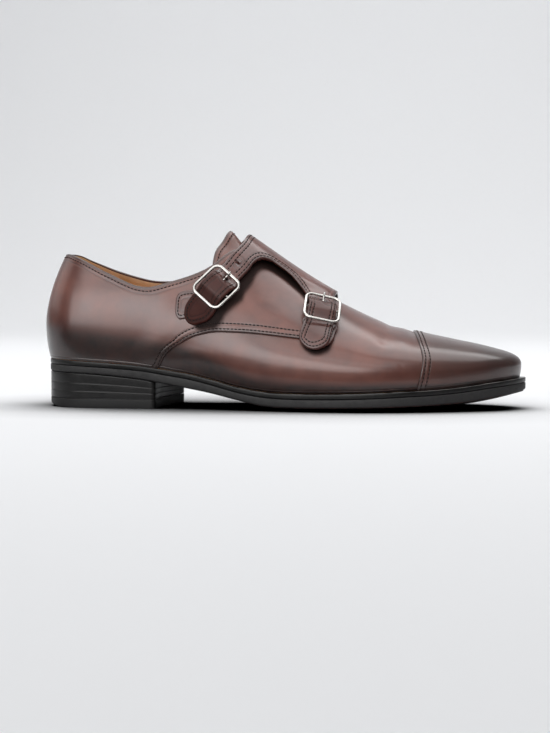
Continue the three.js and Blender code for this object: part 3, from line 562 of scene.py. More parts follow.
@dataclass
class Panel:
    """A piece of leather cut from the flat pattern and laid over the last."""

    last: Last
    name: str
    loop: Array
    top: Heights
    thickness: float
    pitch: float = 1.15
    rounding: float = 0.5
    edge_pitch: float = 0.9
    hole_pitch: float = 0.35
    insets: tuple[float, float] = (0.28, 0.75)
    holes: Sequence[Array] = ()
    underside: bool = False
    # how dark wax and painted shade make the leather, and where the flap's painted shadow lies on it, from 0 to 1
    wax_and_shade: Heights | None = None
    painted_shade: Heights | None = None

    def cut(self) -> tuple[Array, Array]:
        """Cut the piece out of a lattice of triangles.

        Returns:
            Its flat corners, and its triangles.
        """
        loops = [resample(self.loop, min(self.pitch, self.edge_pitch), closed=True)]
        loops += [resample(hole, self.hole_pitch, closed=True) for hole in self.holes]
        low, high = loops[0].min(0), loops[0].max(0)
        lattice = np.array([(a + (k % 2) * self.pitch / 2, b)
                            for k, b in enumerate(np.arange(low[1], high[1], self.pitch * 0.87))
                            for a in np.arange(low[0], high[0], self.pitch)])
        lattice = lattice[inside(lattice, loops[0])]
        keep = [lattice[self.clear(lattice, loops, self.insets[-1] + 0.45 * self.pitch)]]
        for inset in self.insets:
            ring = inward(loops[0], inset)
            keep.append(ring[inside(ring, loops[0]) & self.clear(ring, loops, 0.9 * inset)])
        corners = np.vstack(loops + keep)
        edges, start = [], 0
        for loop in loops:
            n = len(loop)
            edges += [(start + i, start + (i + 1) % n) for i in range(n)]
            start += n
        coords, _, faces, *_ = delaunay_2d_cdt([Vector(c) for c in corners.tolist()], edges, [], 0, 1e-6)
        flat = np.array([tuple(c) for c in coords])
        faces = np.array(faces)
        middle = flat[faces].mean(1)
        held = inside(middle, loops[0])
        for hole in loops[1:]:
            held &= ~inside(middle, hole)
        return flat, faces[held]

    def clear(self, points: Array, loops: Sequence[Array], amount: float) -> Array:
        """Find the points that keep away from every loop.

        Args:
            points: places in the flat.
            loops: the loops.
            amount: how far away they have to be.

        Returns:
            True for each that does.
        """
        good = np.ones(len(points), bool)
        for loop in loops:
            good &= distance(points, loop, closed=True) >= amount
        return good

    def build(self, material: bpy.types.Material) -> bpy.types.Object:
        """Lay the piece over the last, with a rounded edge all round.

        Args:
            material: its finish.

        Returns:
            The piece.
        """
        flat, faces = self.cut()
        loops = [self.loop, *self.holes]
        edge = np.min([distance(flat, loop, closed=True) for loop in loops], 0)
        u, v = self.last.unflat(flat)
        base, out = self.last.point(u, v), self.last.normal(u, v)
        height = self.top(u, v)
        r = self.rounding
        fall = r - np.sqrt(np.maximum(r * r - (r - np.minimum(edge, r)) ** 2, 0))
        upper = base + out * (height - fall)[:, None]
        lower = base + out * (height - self.thickness)[:, None]
        side = np.sort(np.vstack([faces[:, [0, 1]], faces[:, [1, 2]], faces[:, [2, 0]]]), 1)
        pairs, counts = np.unique(side, axis=0, return_counts=True)
        rim = {tuple(p) for p in pairs[counts == 1]}
        n = len(flat)
        outward = self.facing(upper, faces, out)
        made = outward.tolist()
        for a, b, c in outward:
            for p, q in ((a, b), (b, c), (c, a)):
                if (min(p, q), max(p, q)) in rim:
                    made.append([p, p + n, q + n, q])
        if self.underside:
            made += (outward[:, ::-1] + n).tolist()
        # wax with painted shade, and the painted shadow, go to the finish as numbers at each corner
        dark = self.wax_and_shade(u, v) if self.wax_and_shade else np.zeros(n)
        shadow_paint = self.painted_shade(u, v) if self.painted_shade else np.zeros(n)
        points = self.last.place(np.vstack([upper, lower]))
        piece = new_mesh(self.name, points, made, material,
                         {"edge_mm": np.append(edge, np.zeros(n)), "wax_and_shade": np.tile(dark, 2),
                          "painted_shade": np.tile(shadow_paint, 2)})
        self.drop_loose(piece)
        return piece

    @staticmethod
    def facing(points: Array, faces: Array, out: Array) -> Array:
        """Turn the triangles so that each faces out of the last.

        Args:
            points: the corners in space.
            faces: the triangles.
            out: the direction out of the last at each corner.

        Returns:
            The triangles, turned.
        """
        a, b, c = (points[faces[:, k]] for k in range(3))
        wrong = (np.cross(b - a, c - a) * out[faces[:, 0]]).sum(1) < 0
        turned = faces.copy()
        turned[wrong] = faces[wrong][:, ::-1]
        return turned

    @staticmethod
    def drop_loose(piece: bpy.types.Object) -> None:
        """Remove the corners that no face uses.

        Args:
            piece: the object.
        """
        work = bmesh.new()
        work.from_mesh(piece.data)
        for corner in [c for c in work.verts if not c.link_faces]:
            work.verts.remove(corner)
        work.to_mesh(piece.data)
        work.free()


@dataclass
class Stitching:
    """Rows of lockstitch: each stitch is a small bead of thread, sunk a little at both ends."""

    last: Last
    name: str
    pitch: float = 2.4
    width: float = 0.8
    height: float = 0.5
    stitch_part: float = 0.8
    lift: float = 0.04
    rings: int = 5
    sides: int = 6
    rows: list[tuple[Array, Heights]] = field(default_factory=list)

    def row(self, line: Array, top: Heights) -> None:
        """Add a row along a line of the flat, on a leather whose top is at the given heights."""
        self.rows.append((line, top))

    def build(self, material: bpy.types.Material) -> bpy.types.Object:
        """Make all the rows as one piece.

        Args:
            material: the thread's finish.

        Returns:
            The piece.
        """
        turn = np.linspace(0, 2 * math.pi, self.sides, endpoint=False)
        along = np.linspace(-1, 1, self.rings)
        thick = np.sqrt(np.maximum(1 - (along * 0.94) ** 2, 0))
        bead = np.array([(s, t * math.cos(k), t * math.sin(k)) for s, t in zip(along, thick) for k in turn])
        faces = strips(self.rings, self.sides) + caps(self.rings, self.sides)
        points, made = [], []
        for line, top in self.rows:
            fine = resample(line, 0.3)
            u, v = self.last.unflat(fine)
            out = self.last.normal(u, v)
            space = self.last.point(u, v) + out * top(u, v)[:, None]
            travel = np.append(0, np.cumsum(np.linalg.norm(np.diff(space, axis=0), axis=1)))
            at = np.arange(self.pitch / 2, travel[-1], self.pitch)
            half = self.pitch * self.stitch_part / 2
            start, end, mid, n = (np.stack([np.interp(at + d, travel, array[:, k]) for k in range(3)], 1)
                                  for d, array in ((-half, space), (half, space), (0, space), (0, out)))
            axis = (end - start) / 2
            cross = np.cross(n, axis)
            cross /= np.linalg.norm(cross, axis=1, keepdims=True)
            for m, x, y, z in zip(mid, axis, cross, n):
                made += [[len(points) * len(bead) + k for k in f] for f in faces]
                points.append(m + bead[:, :1] * x + bead[:, 1:2] * y * self.width / 2
                              + bead[:, 2:] * z * self.height / 2 + z * self.lift)
        return new_mesh(self.name, self.last.place(np.vstack(points)), made, material)


# ---- finishes --------------------------------------------------------------------------------------------------------


def linear(colour: str) -> Colour:
    """An sRGB hex colour as linear light."""
    parts = [int(colour[i:i + 2], 16) / 255 for i in (1, 3, 5)]
    return (*[c / 12.92 if c <= 0.04045 else ((c + 0.055) / 1.055) ** 2.4 for c in parts], 1.0)


def add_node(tree: bpy.types.NodeTree, kind: str, inputs: dict[str | int, object] | None = None,
             output: str | int = 0, **settings: object) -> bpy.types.NodeSocket | None:
    """Add one node.

    Args:
        tree: where it goes.
        kind: its type, without the ShaderNode at the front.
        inputs: values or linked sockets by input name or number.
        output: the socket that is wanted of it.
        settings: its own properties; stops gives a colour ramp's places and colours.

    Returns:
        That socket, or nothing where the node has none.
    """
    node = tree.nodes.new("ShaderNode" + kind)
    stops = settings.pop("stops", None)
    for key, value in settings.items():
        setattr(node, key, value)
    if stops:
        ramp = node.color_ramp
        while len(ramp.elements) < len(stops):
            ramp.elements.new(0.5)
        for element, (at, colour) in zip(ramp.elements, stops):
            element.position, element.color = at, colour
    for key, value in (inputs or {}).items():
        if isinstance(value, bpy.types.NodeSocket):
            tree.links.new(value, node.inputs[key])
        else:
            node.inputs[key].default_value = value
    return node.outputs[output] if node.outputs else None


def new_material(name: str) -> tuple[bpy.types.Material, bpy.types.NodeTree]:
    """Make an empty node material.

    Args:
        name: what it is called.

    Returns:
        The material and its tree.
    """
    material = bpy.data.materials.new(name)
    material.use_nodes = True
    material.node_tree.nodes.clear()
    return material, material.node_tree


def grey(value: float) -> Colour:
    """A grey of the given linear value."""
    return (value, value, value, 1.0)


@dataclass(frozen=True)
class BurnishedCalf:
    """Aniline calf, hand burnished with wax cream."""

    # The dye is clear, so the brown is deep and warm; wax over it gives a soft shine; cream and heat darken the toe,
    # the heel and every edge, and leave the colour a little cloudy. Between two rows of stitches it puffs up. Painted
    # shade is mixed into the colour too: in a band along the sole (with heavier wax there), on the straps, under the
    # flap's edge and in the sunk stitch rows; on the straps and under the flap it takes the shine off as well.
    name: str
    light: str = "#7a4334"
    deep: str = "#592e25"
    dark: str = "#21110e"
    painted_shade_colour: str = "#0a0504"  # painted shade, under the flap's edge and in the sunk stitch rows
    roughness: float = 0.36
    coat: float = 0.55
    ior: float = 1.5
    grain_mm: float = 0.9  # real pores are about 0.2 mm apart, too fine to show, so they are drawn coarser
    cloud_mm: float = 34.0
    fold_mm: float = 2.6
    bump: float = 0.12
    rows_mm: tuple[float, float] = SEAM_ROWS
    puff_mm: float = 8.0  # how far in from an edge the puffing is drawn
    level: tuple[float, float] = (0.5, 0.12)  # the shine where it is open, and where painted shade takes it away
    shade_dulls: float = 0.0  # how far the painted shade also takes the shine off where it darkens the leather

    def puffing(self) -> list[tuple[float, Colour]]:
        """Raise the leather between its rows of stitches.

        Returns:
            Its height by distance from the edge, as parts of puff_mm.
        """
        first, second = (row / self.puff_mm for row in self.rows_mm)
        return [(0.0, grey(0.55)), (first, grey(0.12)), ((first + second) / 2, grey(0.85)), (second, grey(0.12)),
                (second + 0.1, grey(0.6)), (1.0, grey(0.6))]

    def build(self) -> bpy.types.Material:
        """Make the material.

        Returns:
            The material.
        """
        material, tree = new_material(self.name)
        place = add_node(tree, "TexCoord", output="Object")
        cloud = add_node(tree, "TexNoise", {"Vector": place, "Scale": 1 / (self.cloud_mm * MM), "Detail": 2.5,
                                            "Roughness": 0.5})
        mottle = add_node(tree, "TexNoise", {"Vector": place, "Scale": 4 / (self.cloud_mm * MM), "Detail": 5.0,
                                             "Roughness": 0.55})
        mixed = add_node(tree, "Math", {0: mottle, 1: 0.35, 2: cloud}, operation="MULTIPLY_ADD")
        tone = add_node(tree, "MapRange", {"Value": mixed, "From Min": 0.48, "From Max": 0.87})
        brown = add_node(tree, "Mix", {"Factor": tone, "A": linear(self.deep), "B": linear(self.light)},
                         data_type="RGBA", output="Result")
        edge = add_node(tree, "Attribute", attribute_name="edge_mm", output="Fac")
        rim = add_node(tree, "MapRange", {"Value": edge, "From Min": 0.1, "From Max": 1.6, "To Min": 0.8,
                                          "To Max": 0.0})
        # wax, with painted shade in the band along the sole and on the straps
        wax_and_shade = add_node(tree, "Attribute", attribute_name="wax_and_shade", output="Fac")
        uneven = add_node(tree, "MapRange", {"Value": mottle, "From Min": 0.3, "From Max": 0.7, "To Min": 0.85,
                                             "To Max": 1.15})
        wax_and_shade_mask = add_node(tree, "Math", {0: wax_and_shade, 1: uneven}, operation="MULTIPLY")
        shade = add_node(tree, "Math", {0: rim, 1: wax_and_shade_mask}, operation="MAXIMUM", use_clamp=True)
        darkened = add_node(tree, "Mix", {"Factor": shade, "A": brown, "B": linear(self.dark)},
                         data_type="RGBA", output="Result")
        # the flap's painted shadow: the colour goes to the painted shade colour, and the shine goes too
        painted_shade = add_node(tree, "Attribute", attribute_name="painted_shade", output="Fac")
        colour = add_node(tree, "Mix", {"Factor": painted_shade, "A": darkened, "B": linear(self.painted_shade_colour)},
                          data_type="RGBA", output="Result")
        pores = add_node(tree, "TexVoronoi", {"Vector": place, "Scale": 1 / (self.grain_mm * MM)},
                         feature="DISTANCE_TO_EDGE")
        folds = add_node(tree, "TexNoise", {"Vector": place, "Scale": 1 / (self.fold_mm * MM), "Detail": 6.0,
                                            "Roughness": 0.62, "Distortion": 0.7})
        relief = add_node(tree, "Math", {0: pores, 1: 0.35, 2: folds}, operation="MULTIPLY_ADD")
        fine = add_node(tree, "Bump", {"Height": relief, "Strength": self.bump, "Distance": 0.12 * MM})
        across = add_node(tree, "Math", {0: edge, 1: 1 / self.puff_mm}, operation="MULTIPLY",
                          use_clamp=True)
        puffed = add_node(tree, "ValToRGB", {"Fac": across}, stops=self.puffing())
        # painted shade in the sunk stitch rows: the colour darkens where the bump sinks
        groove = add_node(tree, "MapRange", {"Value": puffed, "From Min": 0.12, "From Max": 0.4, "To Min": 0.45,
                                             "To Max": 0.0})
        marked = add_node(tree, "Mix", {"Factor": groove, "A": colour, "B": linear(self.painted_shade_colour)},
                          data_type="RGBA", output="Result")
        bump = add_node(tree, "Bump", {"Height": puffed, "Strength": 0.8, "Distance": 0.45 * MM,
                                       "Normal": fine})
        gloss = add_node(tree, "MapRange", {"Value": mixed, "From Min": 0.45, "From Max": 0.9,
                                            "To Min": self.roughness - 0.04,
                                            "To Max": self.roughness + 0.05})
        shine_taken = add_node(tree, "Math", {0: wax_and_shade, 1: self.shade_dulls, 2: painted_shade}, operation="MULTIPLY_ADD",
                           use_clamp=True)
        dull = add_node(tree, "Math", {0: shine_taken, 1: 0.35, 2: gloss}, operation="MULTIPLY_ADD")
        coat = add_node(tree, "Math", {0: shine_taken, 1: -1.2 * self.coat, 2: self.coat}, operation="MULTIPLY_ADD",
                        use_clamp=True)
        level = add_node(tree, "MapRange", {"Value": shine_taken, "To Min": self.level[0],
                                            "To Max": self.level[1]})
        skin = add_node(tree, "BsdfPrincipled", {"Base Color": marked, "Roughness": dull, "IOR": self.ior,
                                                 "Specular IOR Level": level, "Coat Weight": coat,
                                                 "Coat Roughness": 0.2, "Normal": bump})
        add_node(tree, "OutputMaterial", {"Surface": skin})
        return material


@dataclass(frozen=True)
class TannedLining:
    """Vegetable-tanned lining leather, left in its own tan."""

    # Undyed and only rolled, so it is dry, warm and matt, with a fine tooth and darker where feet have rubbed it.
    name: str
    light: str = "#e8b98a"
    dark: str = "#c49766"
    roughness: float = 0.6
    tooth_mm: float = 0.8

    def build(self) -> bpy.types.Material:
        """Make the material.

        Returns:
            The material.
        """
        material, tree = new_material(self.name)
        place = add_node(tree, "TexCoord", output="Object")
        wear = add_node(tree, "TexNoise", {"Vector": place, "Scale": 60.0, "Detail": 5.0})
        spread = add_node(tree, "MapRange", {"Value": wear, "From Min": 0.35, "From Max": 0.65})
        colour = add_node(tree, "Mix", {"Factor": spread, "A": linear(self.dark), "B": linear(self.light)},
                          data_type="RGBA", output="Result")
        tooth = add_node(tree, "TexNoise", {"Vector": place, "Scale": 1 / (self.tooth_mm * MM), "Detail": 4.0})
        bump = add_node(tree, "Bump", {"Height": tooth, "Strength": 0.25, "Distance": 0.1 * MM})
        skin = add_node(tree, "BsdfPrincipled", {"Base Color": colour, "Roughness": self.roughness, "IOR": 1.5,
                                                 "Normal": bump})
        add_node(tree, "OutputMaterial", {"Surface": skin})
        return material


@dataclass(frozen=True)
class InkedEdge:
    """Leather cut in layers, its edges inked black, waxed and ironed."""

    # The ink is near black, the iron leaves a satin shine, the layers show as fine level lines, and where a corner has
    # been rubbed the ink is gone in patches; the thin pale line left along the welt's top corner is partly painted
    # highlight, where the corner catches the light.
    name: str
    ink: str = "#0a0909"
    worn: str = "#141111"
    rubbed_and_highlight: str = "#b0ada9"
    roughness: float = 0.32
    line_mm: float = 1.1
    bump: float = 0.12
    level: tuple[float, float] = (0.36, 0.02)  # the shine in the open, and at the heel's breast as painted shade

    def build(self) -> bpy.types.Material:
        """Make the material.

        Returns:
            The material.
        """
        material, tree = new_material(self.name)
        place = add_node(tree, "TexCoord", output="Object")
        level_lines = add_node(tree, "Mapping", {"Vector": place,
                                                 "Scale": (14.0, 14.0, 1 / (self.line_mm * MM))})
        lines = add_node(tree, "TexNoise", {"Vector": level_lines, "Scale": 1.0, "Detail": 3.0,
                                            "Roughness": 0.6})
        spots = add_node(tree, "TexNoise", {"Vector": place, "Scale": 120.0, "Detail": 6.0,
                                            "Roughness": 0.7})
        rub = add_node(tree, "Math", {0: lines, 1: spots}, operation="MULTIPLY")
        worn = add_node(tree, "MapRange", {"Value": rub, "From Min": 0.18, "From Max": 0.42})
        inked = add_node(tree, "Mix", {"Factor": worn, "A": linear(self.ink), "B": linear(self.worn)},
                         data_type="RGBA", output="Result")
        # the welt's top corner: ink rubbed off in patches, and a painted highlight where the corner catches the light
        corner = add_node(tree, "Attribute", attribute_name="rubbed_and_highlight", output="Fac")
        broken = add_node(tree, "MapRange", {"Value": spots, "From Min": 0.38, "From Max": 0.6})
        bare = add_node(tree, "Math", {0: corner, 1: broken}, operation="MULTIPLY", use_clamp=True)
        colour = add_node(tree, "Mix", {"Factor": bare, "A": inked, "B": linear(self.rubbed_and_highlight)},
                          data_type="RGBA", output="Result")
        bump = add_node(tree, "Bump", {"Height": lines, "Strength": self.bump, "Distance": 0.12 * MM})
        gloss = add_node(tree, "MapRange", {"Value": spots, "From Min": 0.3, "From Max": 0.7,
                                            "To Min": self.roughness - 0.04,
                                            "To Max": self.roughness + 0.12})
        painted_shade = add_node(tree, "Attribute", attribute_name="painted_shade", output="Fac")
        level = add_node(tree, "MapRange", {"Value": painted_shade, "To Min": self.level[0],
                                            "To Max": self.level[1]})
        skin = add_node(tree, "BsdfPrincipled", {"Base Color": colour, "Roughness": gloss, "IOR": 1.5,
                                                 "Specular IOR Level": level, "Normal": bump})
        add_node(tree, "OutputMaterial", {"Surface": skin})
        return material


@dataclass(frozen=True)
class WornTread:
    """The sole's black-stained grain side, rubbed by the ground."""

    # Stain is left in the middle of the foot and worn through along the rim, where the dull red-brown leather shows.
    name: str
    stain: str = "#191718"
    bare: str = "#5a3832"
    roughness: float = 0.62

    def build(self) -> bpy.types.Material:
        """Make the material.

        Returns:
            The material.
        """
        material, tree = new_material(self.name)
        place = add_node(tree, "TexCoord", output="Object")
        rough = add_node(tree, "TexNoise", {"Vector": place, "Scale": 260.0, "Detail": 7.0,
                                            "Roughness": 0.7})
        wear = add_node(tree, "Attribute", attribute_name="wear", output="Fac")
        broken = add_node(tree, "MapRange", {"Value": rough, "From Min": 0.42, "From Max": 0.58})
        shown = add_node(tree, "Math", {0: wear, 1: broken}, operation="MULTIPLY", use_clamp=True)
        colour = add_node(tree, "Mix", {"Factor": shown, "A": linear(self.stain), "B": linear(self.bare)},
                          data_type="RGBA", output="Result")
        bump = add_node(tree, "Bump", {"Height": rough, "Strength": 0.4, "Distance": 0.2 * MM})
        gloss = add_node(tree, "MapRange", {"Value": rough, "From Min": 0.3, "From Max": 0.7,
                                            "To Min": self.roughness - 0.1,
                                            "To Max": self.roughness + 0.15})
        skin = add_node(tree, "BsdfPrincipled", {"Base Color": colour, "Roughness": gloss, "IOR": 1.5, "Normal": bump})
        add_node(tree, "OutputMaterial", {"Surface": skin})
        return material


@dataclass(frozen=True)
class MouldedRubber:
    """Black heel rubber, moulded, with its skin scuffed."""

    # Carbon black makes it nearly neutral and very dark; the mould leaves it matt, and scuffs turn it grey.
    name: str
    black: str = "#0b0a0b"
    scuffed: str = "#161414"
    roughness: float = 0.5
    level: tuple[float, float] = (0.36, 0.02)  # the shine in the open, and at the heel's breast as painted shade

    def build(self) -> bpy.types.Material:
        """Make the material.

        Returns:
            The material.
        """
        material, tree = new_material(self.name)
        place = add_node(tree, "TexCoord", output="Object")
        scuff = add_node(tree, "TexNoise", {"Vector": place, "Scale": 90.0, "Detail": 8.0,
                                            "Roughness": 0.72})
        spread = add_node(tree, "MapRange", {"Value": scuff, "From Min": 0.45, "From Max": 0.75})
        colour = add_node(tree, "Mix", {"Factor": spread, "A": linear(self.black), "B": linear(self.scuffed)},
                          data_type="RGBA", output="Result")
        bump = add_node(tree, "Bump", {"Height": scuff, "Strength": 0.2, "Distance": 0.15 * MM})
        gloss = add_node(tree, "MapRange", {"Value": scuff, "To Min": self.roughness - 0.08,
                                            "To Max": self.roughness + 0.15})
        painted_shade = add_node(tree, "Attribute", attribute_name="painted_shade", output="Fac")
        level = add_node(tree, "MapRange", {"Value": painted_shade, "To Min": self.level[0],
                                            "To Max": self.level[1]})
        skin = add_node(tree, "BsdfPrincipled", {"Base Color": colour, "Roughness": gloss, "IOR": 1.52,
                                                 "Specular IOR Level": level, "Normal": bump})
        add_node(tree, "OutputMaterial", {"Surface": skin})
        return material


@dataclass(frozen=True)
class WaxedThread:
    """Twisted linen thread, waxed and dyed to the leather."""

    # Two plies twisted together, so the light breaks into fine slanting bands; wax dulls the fibre and darkens it.
    name: str
    light: str = "#301a14"
    dark: str = "#100806"
    ply_mm: float = 0.45

    def build(self) -> bpy.types.Material:
        """Make the material.

        Returns:
            The material.
        """
        material, tree = new_material(self.name)
        place = add_node(tree, "TexCoord", output="Object")
        twist = add_node(tree, "TexWave", {"Vector": place, "Scale": 1 / (self.ply_mm * MM) / 6.3, "Distortion": 1.5},
                         bands_direction="DIAGONAL", output="Fac")
        colour = add_node(tree, "Mix", {"Factor": twist, "A": linear(self.dark), "B": linear(self.light)},
                          data_type="RGBA", output="Result")
        bump = add_node(tree, "Bump", {"Height": twist, "Strength": 0.4, "Distance": 0.1 * MM})
        skin = add_node(tree, "BsdfPrincipled", {"Base Color": colour, "Roughness": 0.8, "IOR": 1.5,
                                                 "Specular IOR Level": 0.25, "Normal": bump})
        add_node(tree, "OutputMaterial", {"Surface": skin})
        return material


@dataclass(frozen=True)
class PolishedNickel:
    """Brass wire, nickel plated and polished."""

    # A warm silver mirror whose polish has hazed a little, with faint smudges.
    name: str
    bright: str = "#c6c3bf"
    dull: str = "#9d9a96"
    roughness: float = 0.2

    def build(self) -> bpy.types.Material:
        """Make the material.

        Returns:
            The material.
        """
        material, tree = new_material(self.name)
        place = add_node(tree, "TexCoord", output="Object")
        haze = add_node(tree, "TexNoise", {"Vector": place, "Scale": 110.0, "Detail": 2.0})
        colour = add_node(tree, "Mix", {"Factor": haze, "A": linear(self.bright), "B": linear(self.dull)},
                          data_type="RGBA", output="Result")
        gloss = add_node(tree, "MapRange", {"Value": haze, "From Min": 0.3, "From Max": 0.7,
                                            "To Min": self.roughness - 0.04,
                                            "To Max": self.roughness + 0.1})
        skin = add_node(tree, "BsdfPrincipled", {"Base Color": colour, "Metallic": 1.0, "Roughness": gloss})
        add_node(tree, "OutputMaterial", {"Surface": skin})
        return material


@dataclass(frozen=True)
class BlackCard:
    """Matt black card, used as a flag."""

    # Its fibres take nearly all the light, so what shines shows it as a dark band.
    name: str
    black: str = "#050505"
    fibre: str = "#0a0a0a"

    def build(self) -> bpy.types.Material:
        """Make the material.

        Returns:
            The material.
        """
        material, tree = new_material(self.name)
        place = add_node(tree, "TexCoord", output="Object")
        fibre = add_node(tree, "TexNoise", {"Vector": place, "Scale": 400.0})
        colour = add_node(tree, "Mix", {"Factor": fibre, "A": linear(self.black), "B": linear(self.fibre)},
                          data_type="RGBA", output="Result")
        skin = add_node(tree, "BsdfDiffuse", {"Color": colour})
        add_node(tree, "OutputMaterial", {"Surface": skin})
        return material


@dataclass(frozen=True)
class StudioPaper:
    """Seamless background paper, smooth and matt."""

    # Pale and even, with the faintest tooth; close under a thing that stands on it hardly any light gets in.
    name: str
    colour: str = "#eeeff1"
    shaded: str = "#0c0c0d"
    # how far around a thing the painted contact shade reaches, in metres
    painted_shade: float = 0.09
    lit: tuple[float, float] = (0.36, 0.97)

    def build(self) -> bpy.types.Material:
        """Make the material.

        Returns:
            The material.
        """
        material, tree = new_material(self.name)
        place = add_node(tree, "TexCoord", output="Object")
        fibre = add_node(tree, "TexNoise", {"Vector": place, "Scale": 900.0, "Detail": 3.0})
        bump = add_node(tree, "Bump", {"Height": fibre, "Strength": 0.05, "Distance": 0.1 * MM})
        opened = add_node(tree, "AmbientOcclusion", {"Distance": self.painted_shade}, samples=8, output="AO")
        open_sky = add_node(tree, "MapRange", {"Value": opened, "From Min": self.lit[0],
                                               "From Max": self.lit[1]})
        colour = add_node(tree, "Mix", {"Factor": open_sky, "A": linear(self.shaded), "B": linear(self.colour)},
                          data_type="RGBA", output="Result")
        skin = add_node(tree, "BsdfDiffuse", {"Color": colour, "Normal": bump})
        add_node(tree, "OutputMaterial", {"Surface": skin})
        return material


# ---- the upper -------------------------------------------------------------------------------------------------------


@dataclass
class Buckle:
    """A wire buckle on its tab: where the middle of its bar sits, and its axes."""

    last: Last
    name: str
    bar_x: float
    bar_z: float
    heading: tuple[float, float]
    end: tuple[tuple[float, float], ...]
    spare_hole: tuple[float, float]
    along_size: float = 24.4
    across_size: float = 23.0
    wire: float = 1.9
    corner: float = 4.2
    height: float = 5.2
    bar: float = 1.3
    bar_height: float = 4.5
    prong: float = 0.62
    prong_path: tuple[tuple[float, float], ...] = ((-1.5, 4.5), (-7.2, 5.1), (-9.6, 6.0), (-12.0, 7.0))
    flatness: float = 0.82
    wire_sides: int = 14
    rod_sides: int = 12

    def __post_init__(self) -> None:
        """Find the place on the last that is seen at bar_x, bar_z from the outer side."""
        u, v = (g.ravel() for g in np.meshgrid(np.linspace(0, 1, 401), np.linspace(-1, 0, 401)))
        p = self.last.point(u, v)
        best = np.hypot(p[:, 0] - self.bar_x, p[:, 2] - self.bar_z).argmin()
        self.at = np.array([[u[best], v[best]]])
        self.origin, self.up = self.last.point(*self.at.T)[0], self.last.normal(*self.at.T)[0]
        hx, hz = self.heading
        along = np.array([hx, -(self.up[0] * hx + self.up[2] * hz) / self.up[1], hz])
        self.along = along / np.linalg.norm(along)
        self.across = np.cross(self.up, self.along)

    def space(self, along: Array, across: Array, up: Array) -> Array:
        """Points given along, across and up from the bar's middle."""
        parts = [np.reshape(p, (-1, 1)) for p in (along, across, up)]
        return self.origin + parts[0] * self.along + parts[1] * self.across + parts[2] * self.up

    def local(self, points: Array) -> Array:
        """Args: points in space. Returns: how far each lies along and across from the bar's middle."""
        return (points - self.origin) @ np.stack([self.along, self.across], 1)

    def flat(self, line: Sequence[Sequence[float]] | Array, height: float = 2.6) -> Array:
        """Drop a line on the leather.

        Args:
            line: its points, along and across from the bar.
            height: of the leather over the last.

        Returns:
            The line in the flat pattern.
        """
        wanted = np.array(line, float)
        ab = np.repeat(self.last.flat(self.at), len(wanted), 0)
        for _ in range(25):
            now = self.local(self.last.lay(ab, height))
            d = 0.05
            da = (self.local(self.last.lay(ab + [d, 0], height)) - now) / d
            db = (self.local(self.last.lay(ab + [0, d], height)) - now) / d
            jacobian = np.stack([da, db], 2)
            move = np.linalg.solve(jacobian, (wanted - now)[:, :, None])[:, :, 0]
            ab = ab + np.clip(move, -4, 4)
        return ab

    def build(self, metal: bpy.types.Material) -> list[bpy.types.Object]:
        """Make the buckle.

        Args:
            metal: its finish.

        Returns:
            The frame with its bar, and the prong.
        """
        frame_piece = self.sweep(f"buckle_wire_{self.name}", metal)
        prong = self.prong_piece(f"prong_{self.name}_nickel", metal)
        return [finished(frame_piece, "buckle", f"buckle_frame_{self.name}"),
                finished(prong, "buckle", f"buckle_prong_{self.name}")]

    def sweep(self, name: str, metal: bpy.types.Material) -> bpy.types.Object:
        """Run a slightly flattened wire around the frame, and add its bar.

        Args:
            name: the piece's name.
            metal: its finish.

        Returns:
            The frame.
        """
        half_a = (self.along_size - self.wire) / 2 - self.corner
        half_c = (self.across_size - self.wire) / 2 - self.corner
        path = []
        for sa, sc, quarter in ((1, 1, 0), (-1, 1, 1), (-1, -1, 2), (1, -1, 3)):
            for part in np.linspace(0, 1, 9):
                angle = (quarter + part) * math.pi / 2
                path.append((sa * half_a + self.corner * math.cos(angle), sc * half_c + self.corner * math.sin(angle),
                             math.cos(angle), math.sin(angle)))
        path = np.array(path)
        turn = np.linspace(0, 2 * math.pi, self.wire_sides, endpoint=False)
        swell = self.wire / 2 * np.cos(turn)
        a = path[:, 0:1] + swell * path[:, 2:3]
        c = path[:, 1:2] + swell * path[:, 3:4]
        lift = self.height + self.flatness * self.wire / 2 * np.sin(turn) + 0 * a
        points = self.space(a, c, lift)
        faces = strips(len(path), self.wire_sides, closed_rings=True)
        reach = (self.across_size - self.wire) / 2
        rod, rod_faces = self.rod((0, -reach, self.bar_height), (0, reach, self.bar_height), (self.bar / 2,) * 2)
        faces += [[k + len(points) for k in f] for f in rod_faces]
        return new_mesh(name, self.last.place(np.vstack([points, rod])), faces, metal)

    def rod(self, start: Sequence[float], end: Sequence[float], radii: Sequence[float]) -> tuple[Array, Faces]:
        """A round rod with a domed end.

        Args:
            start, end: its ends, along, across and up from the bar.
            radii: its radius at each of evenly spaced places.

        Returns:
            Its points in space and its faces.
        """
        a, b = (self.space(*[np.array([k]) for k in place])[0] for place in (start, end))
        axis = (b - a) / np.linalg.norm(b - a)
        x = np.cross(axis, self.up + 0.01 * self.along)
        x /= np.linalg.norm(x)
        y = np.cross(axis, x)
        places = list(zip(np.linspace(0, 1, len(radii)), radii))
        tip = radii[-1]
        length = np.linalg.norm(b - a)
        places += [(1 + 0.6 * tip / length, 0.75 * tip), (1 + 0.9 * tip / length, 0.25 * tip)]
        turn = np.linspace(0, 2 * math.pi, self.rod_sides, endpoint=False)
        points = [a + (b - a) * s + r * (math.cos(k) * x + math.sin(k) * y) for s, r in places for k in turn]
        faces = strips(len(places), self.rod_sides)
        return np.array(points), faces + [face[::-1] for face in caps(len(places), self.rod_sides)]

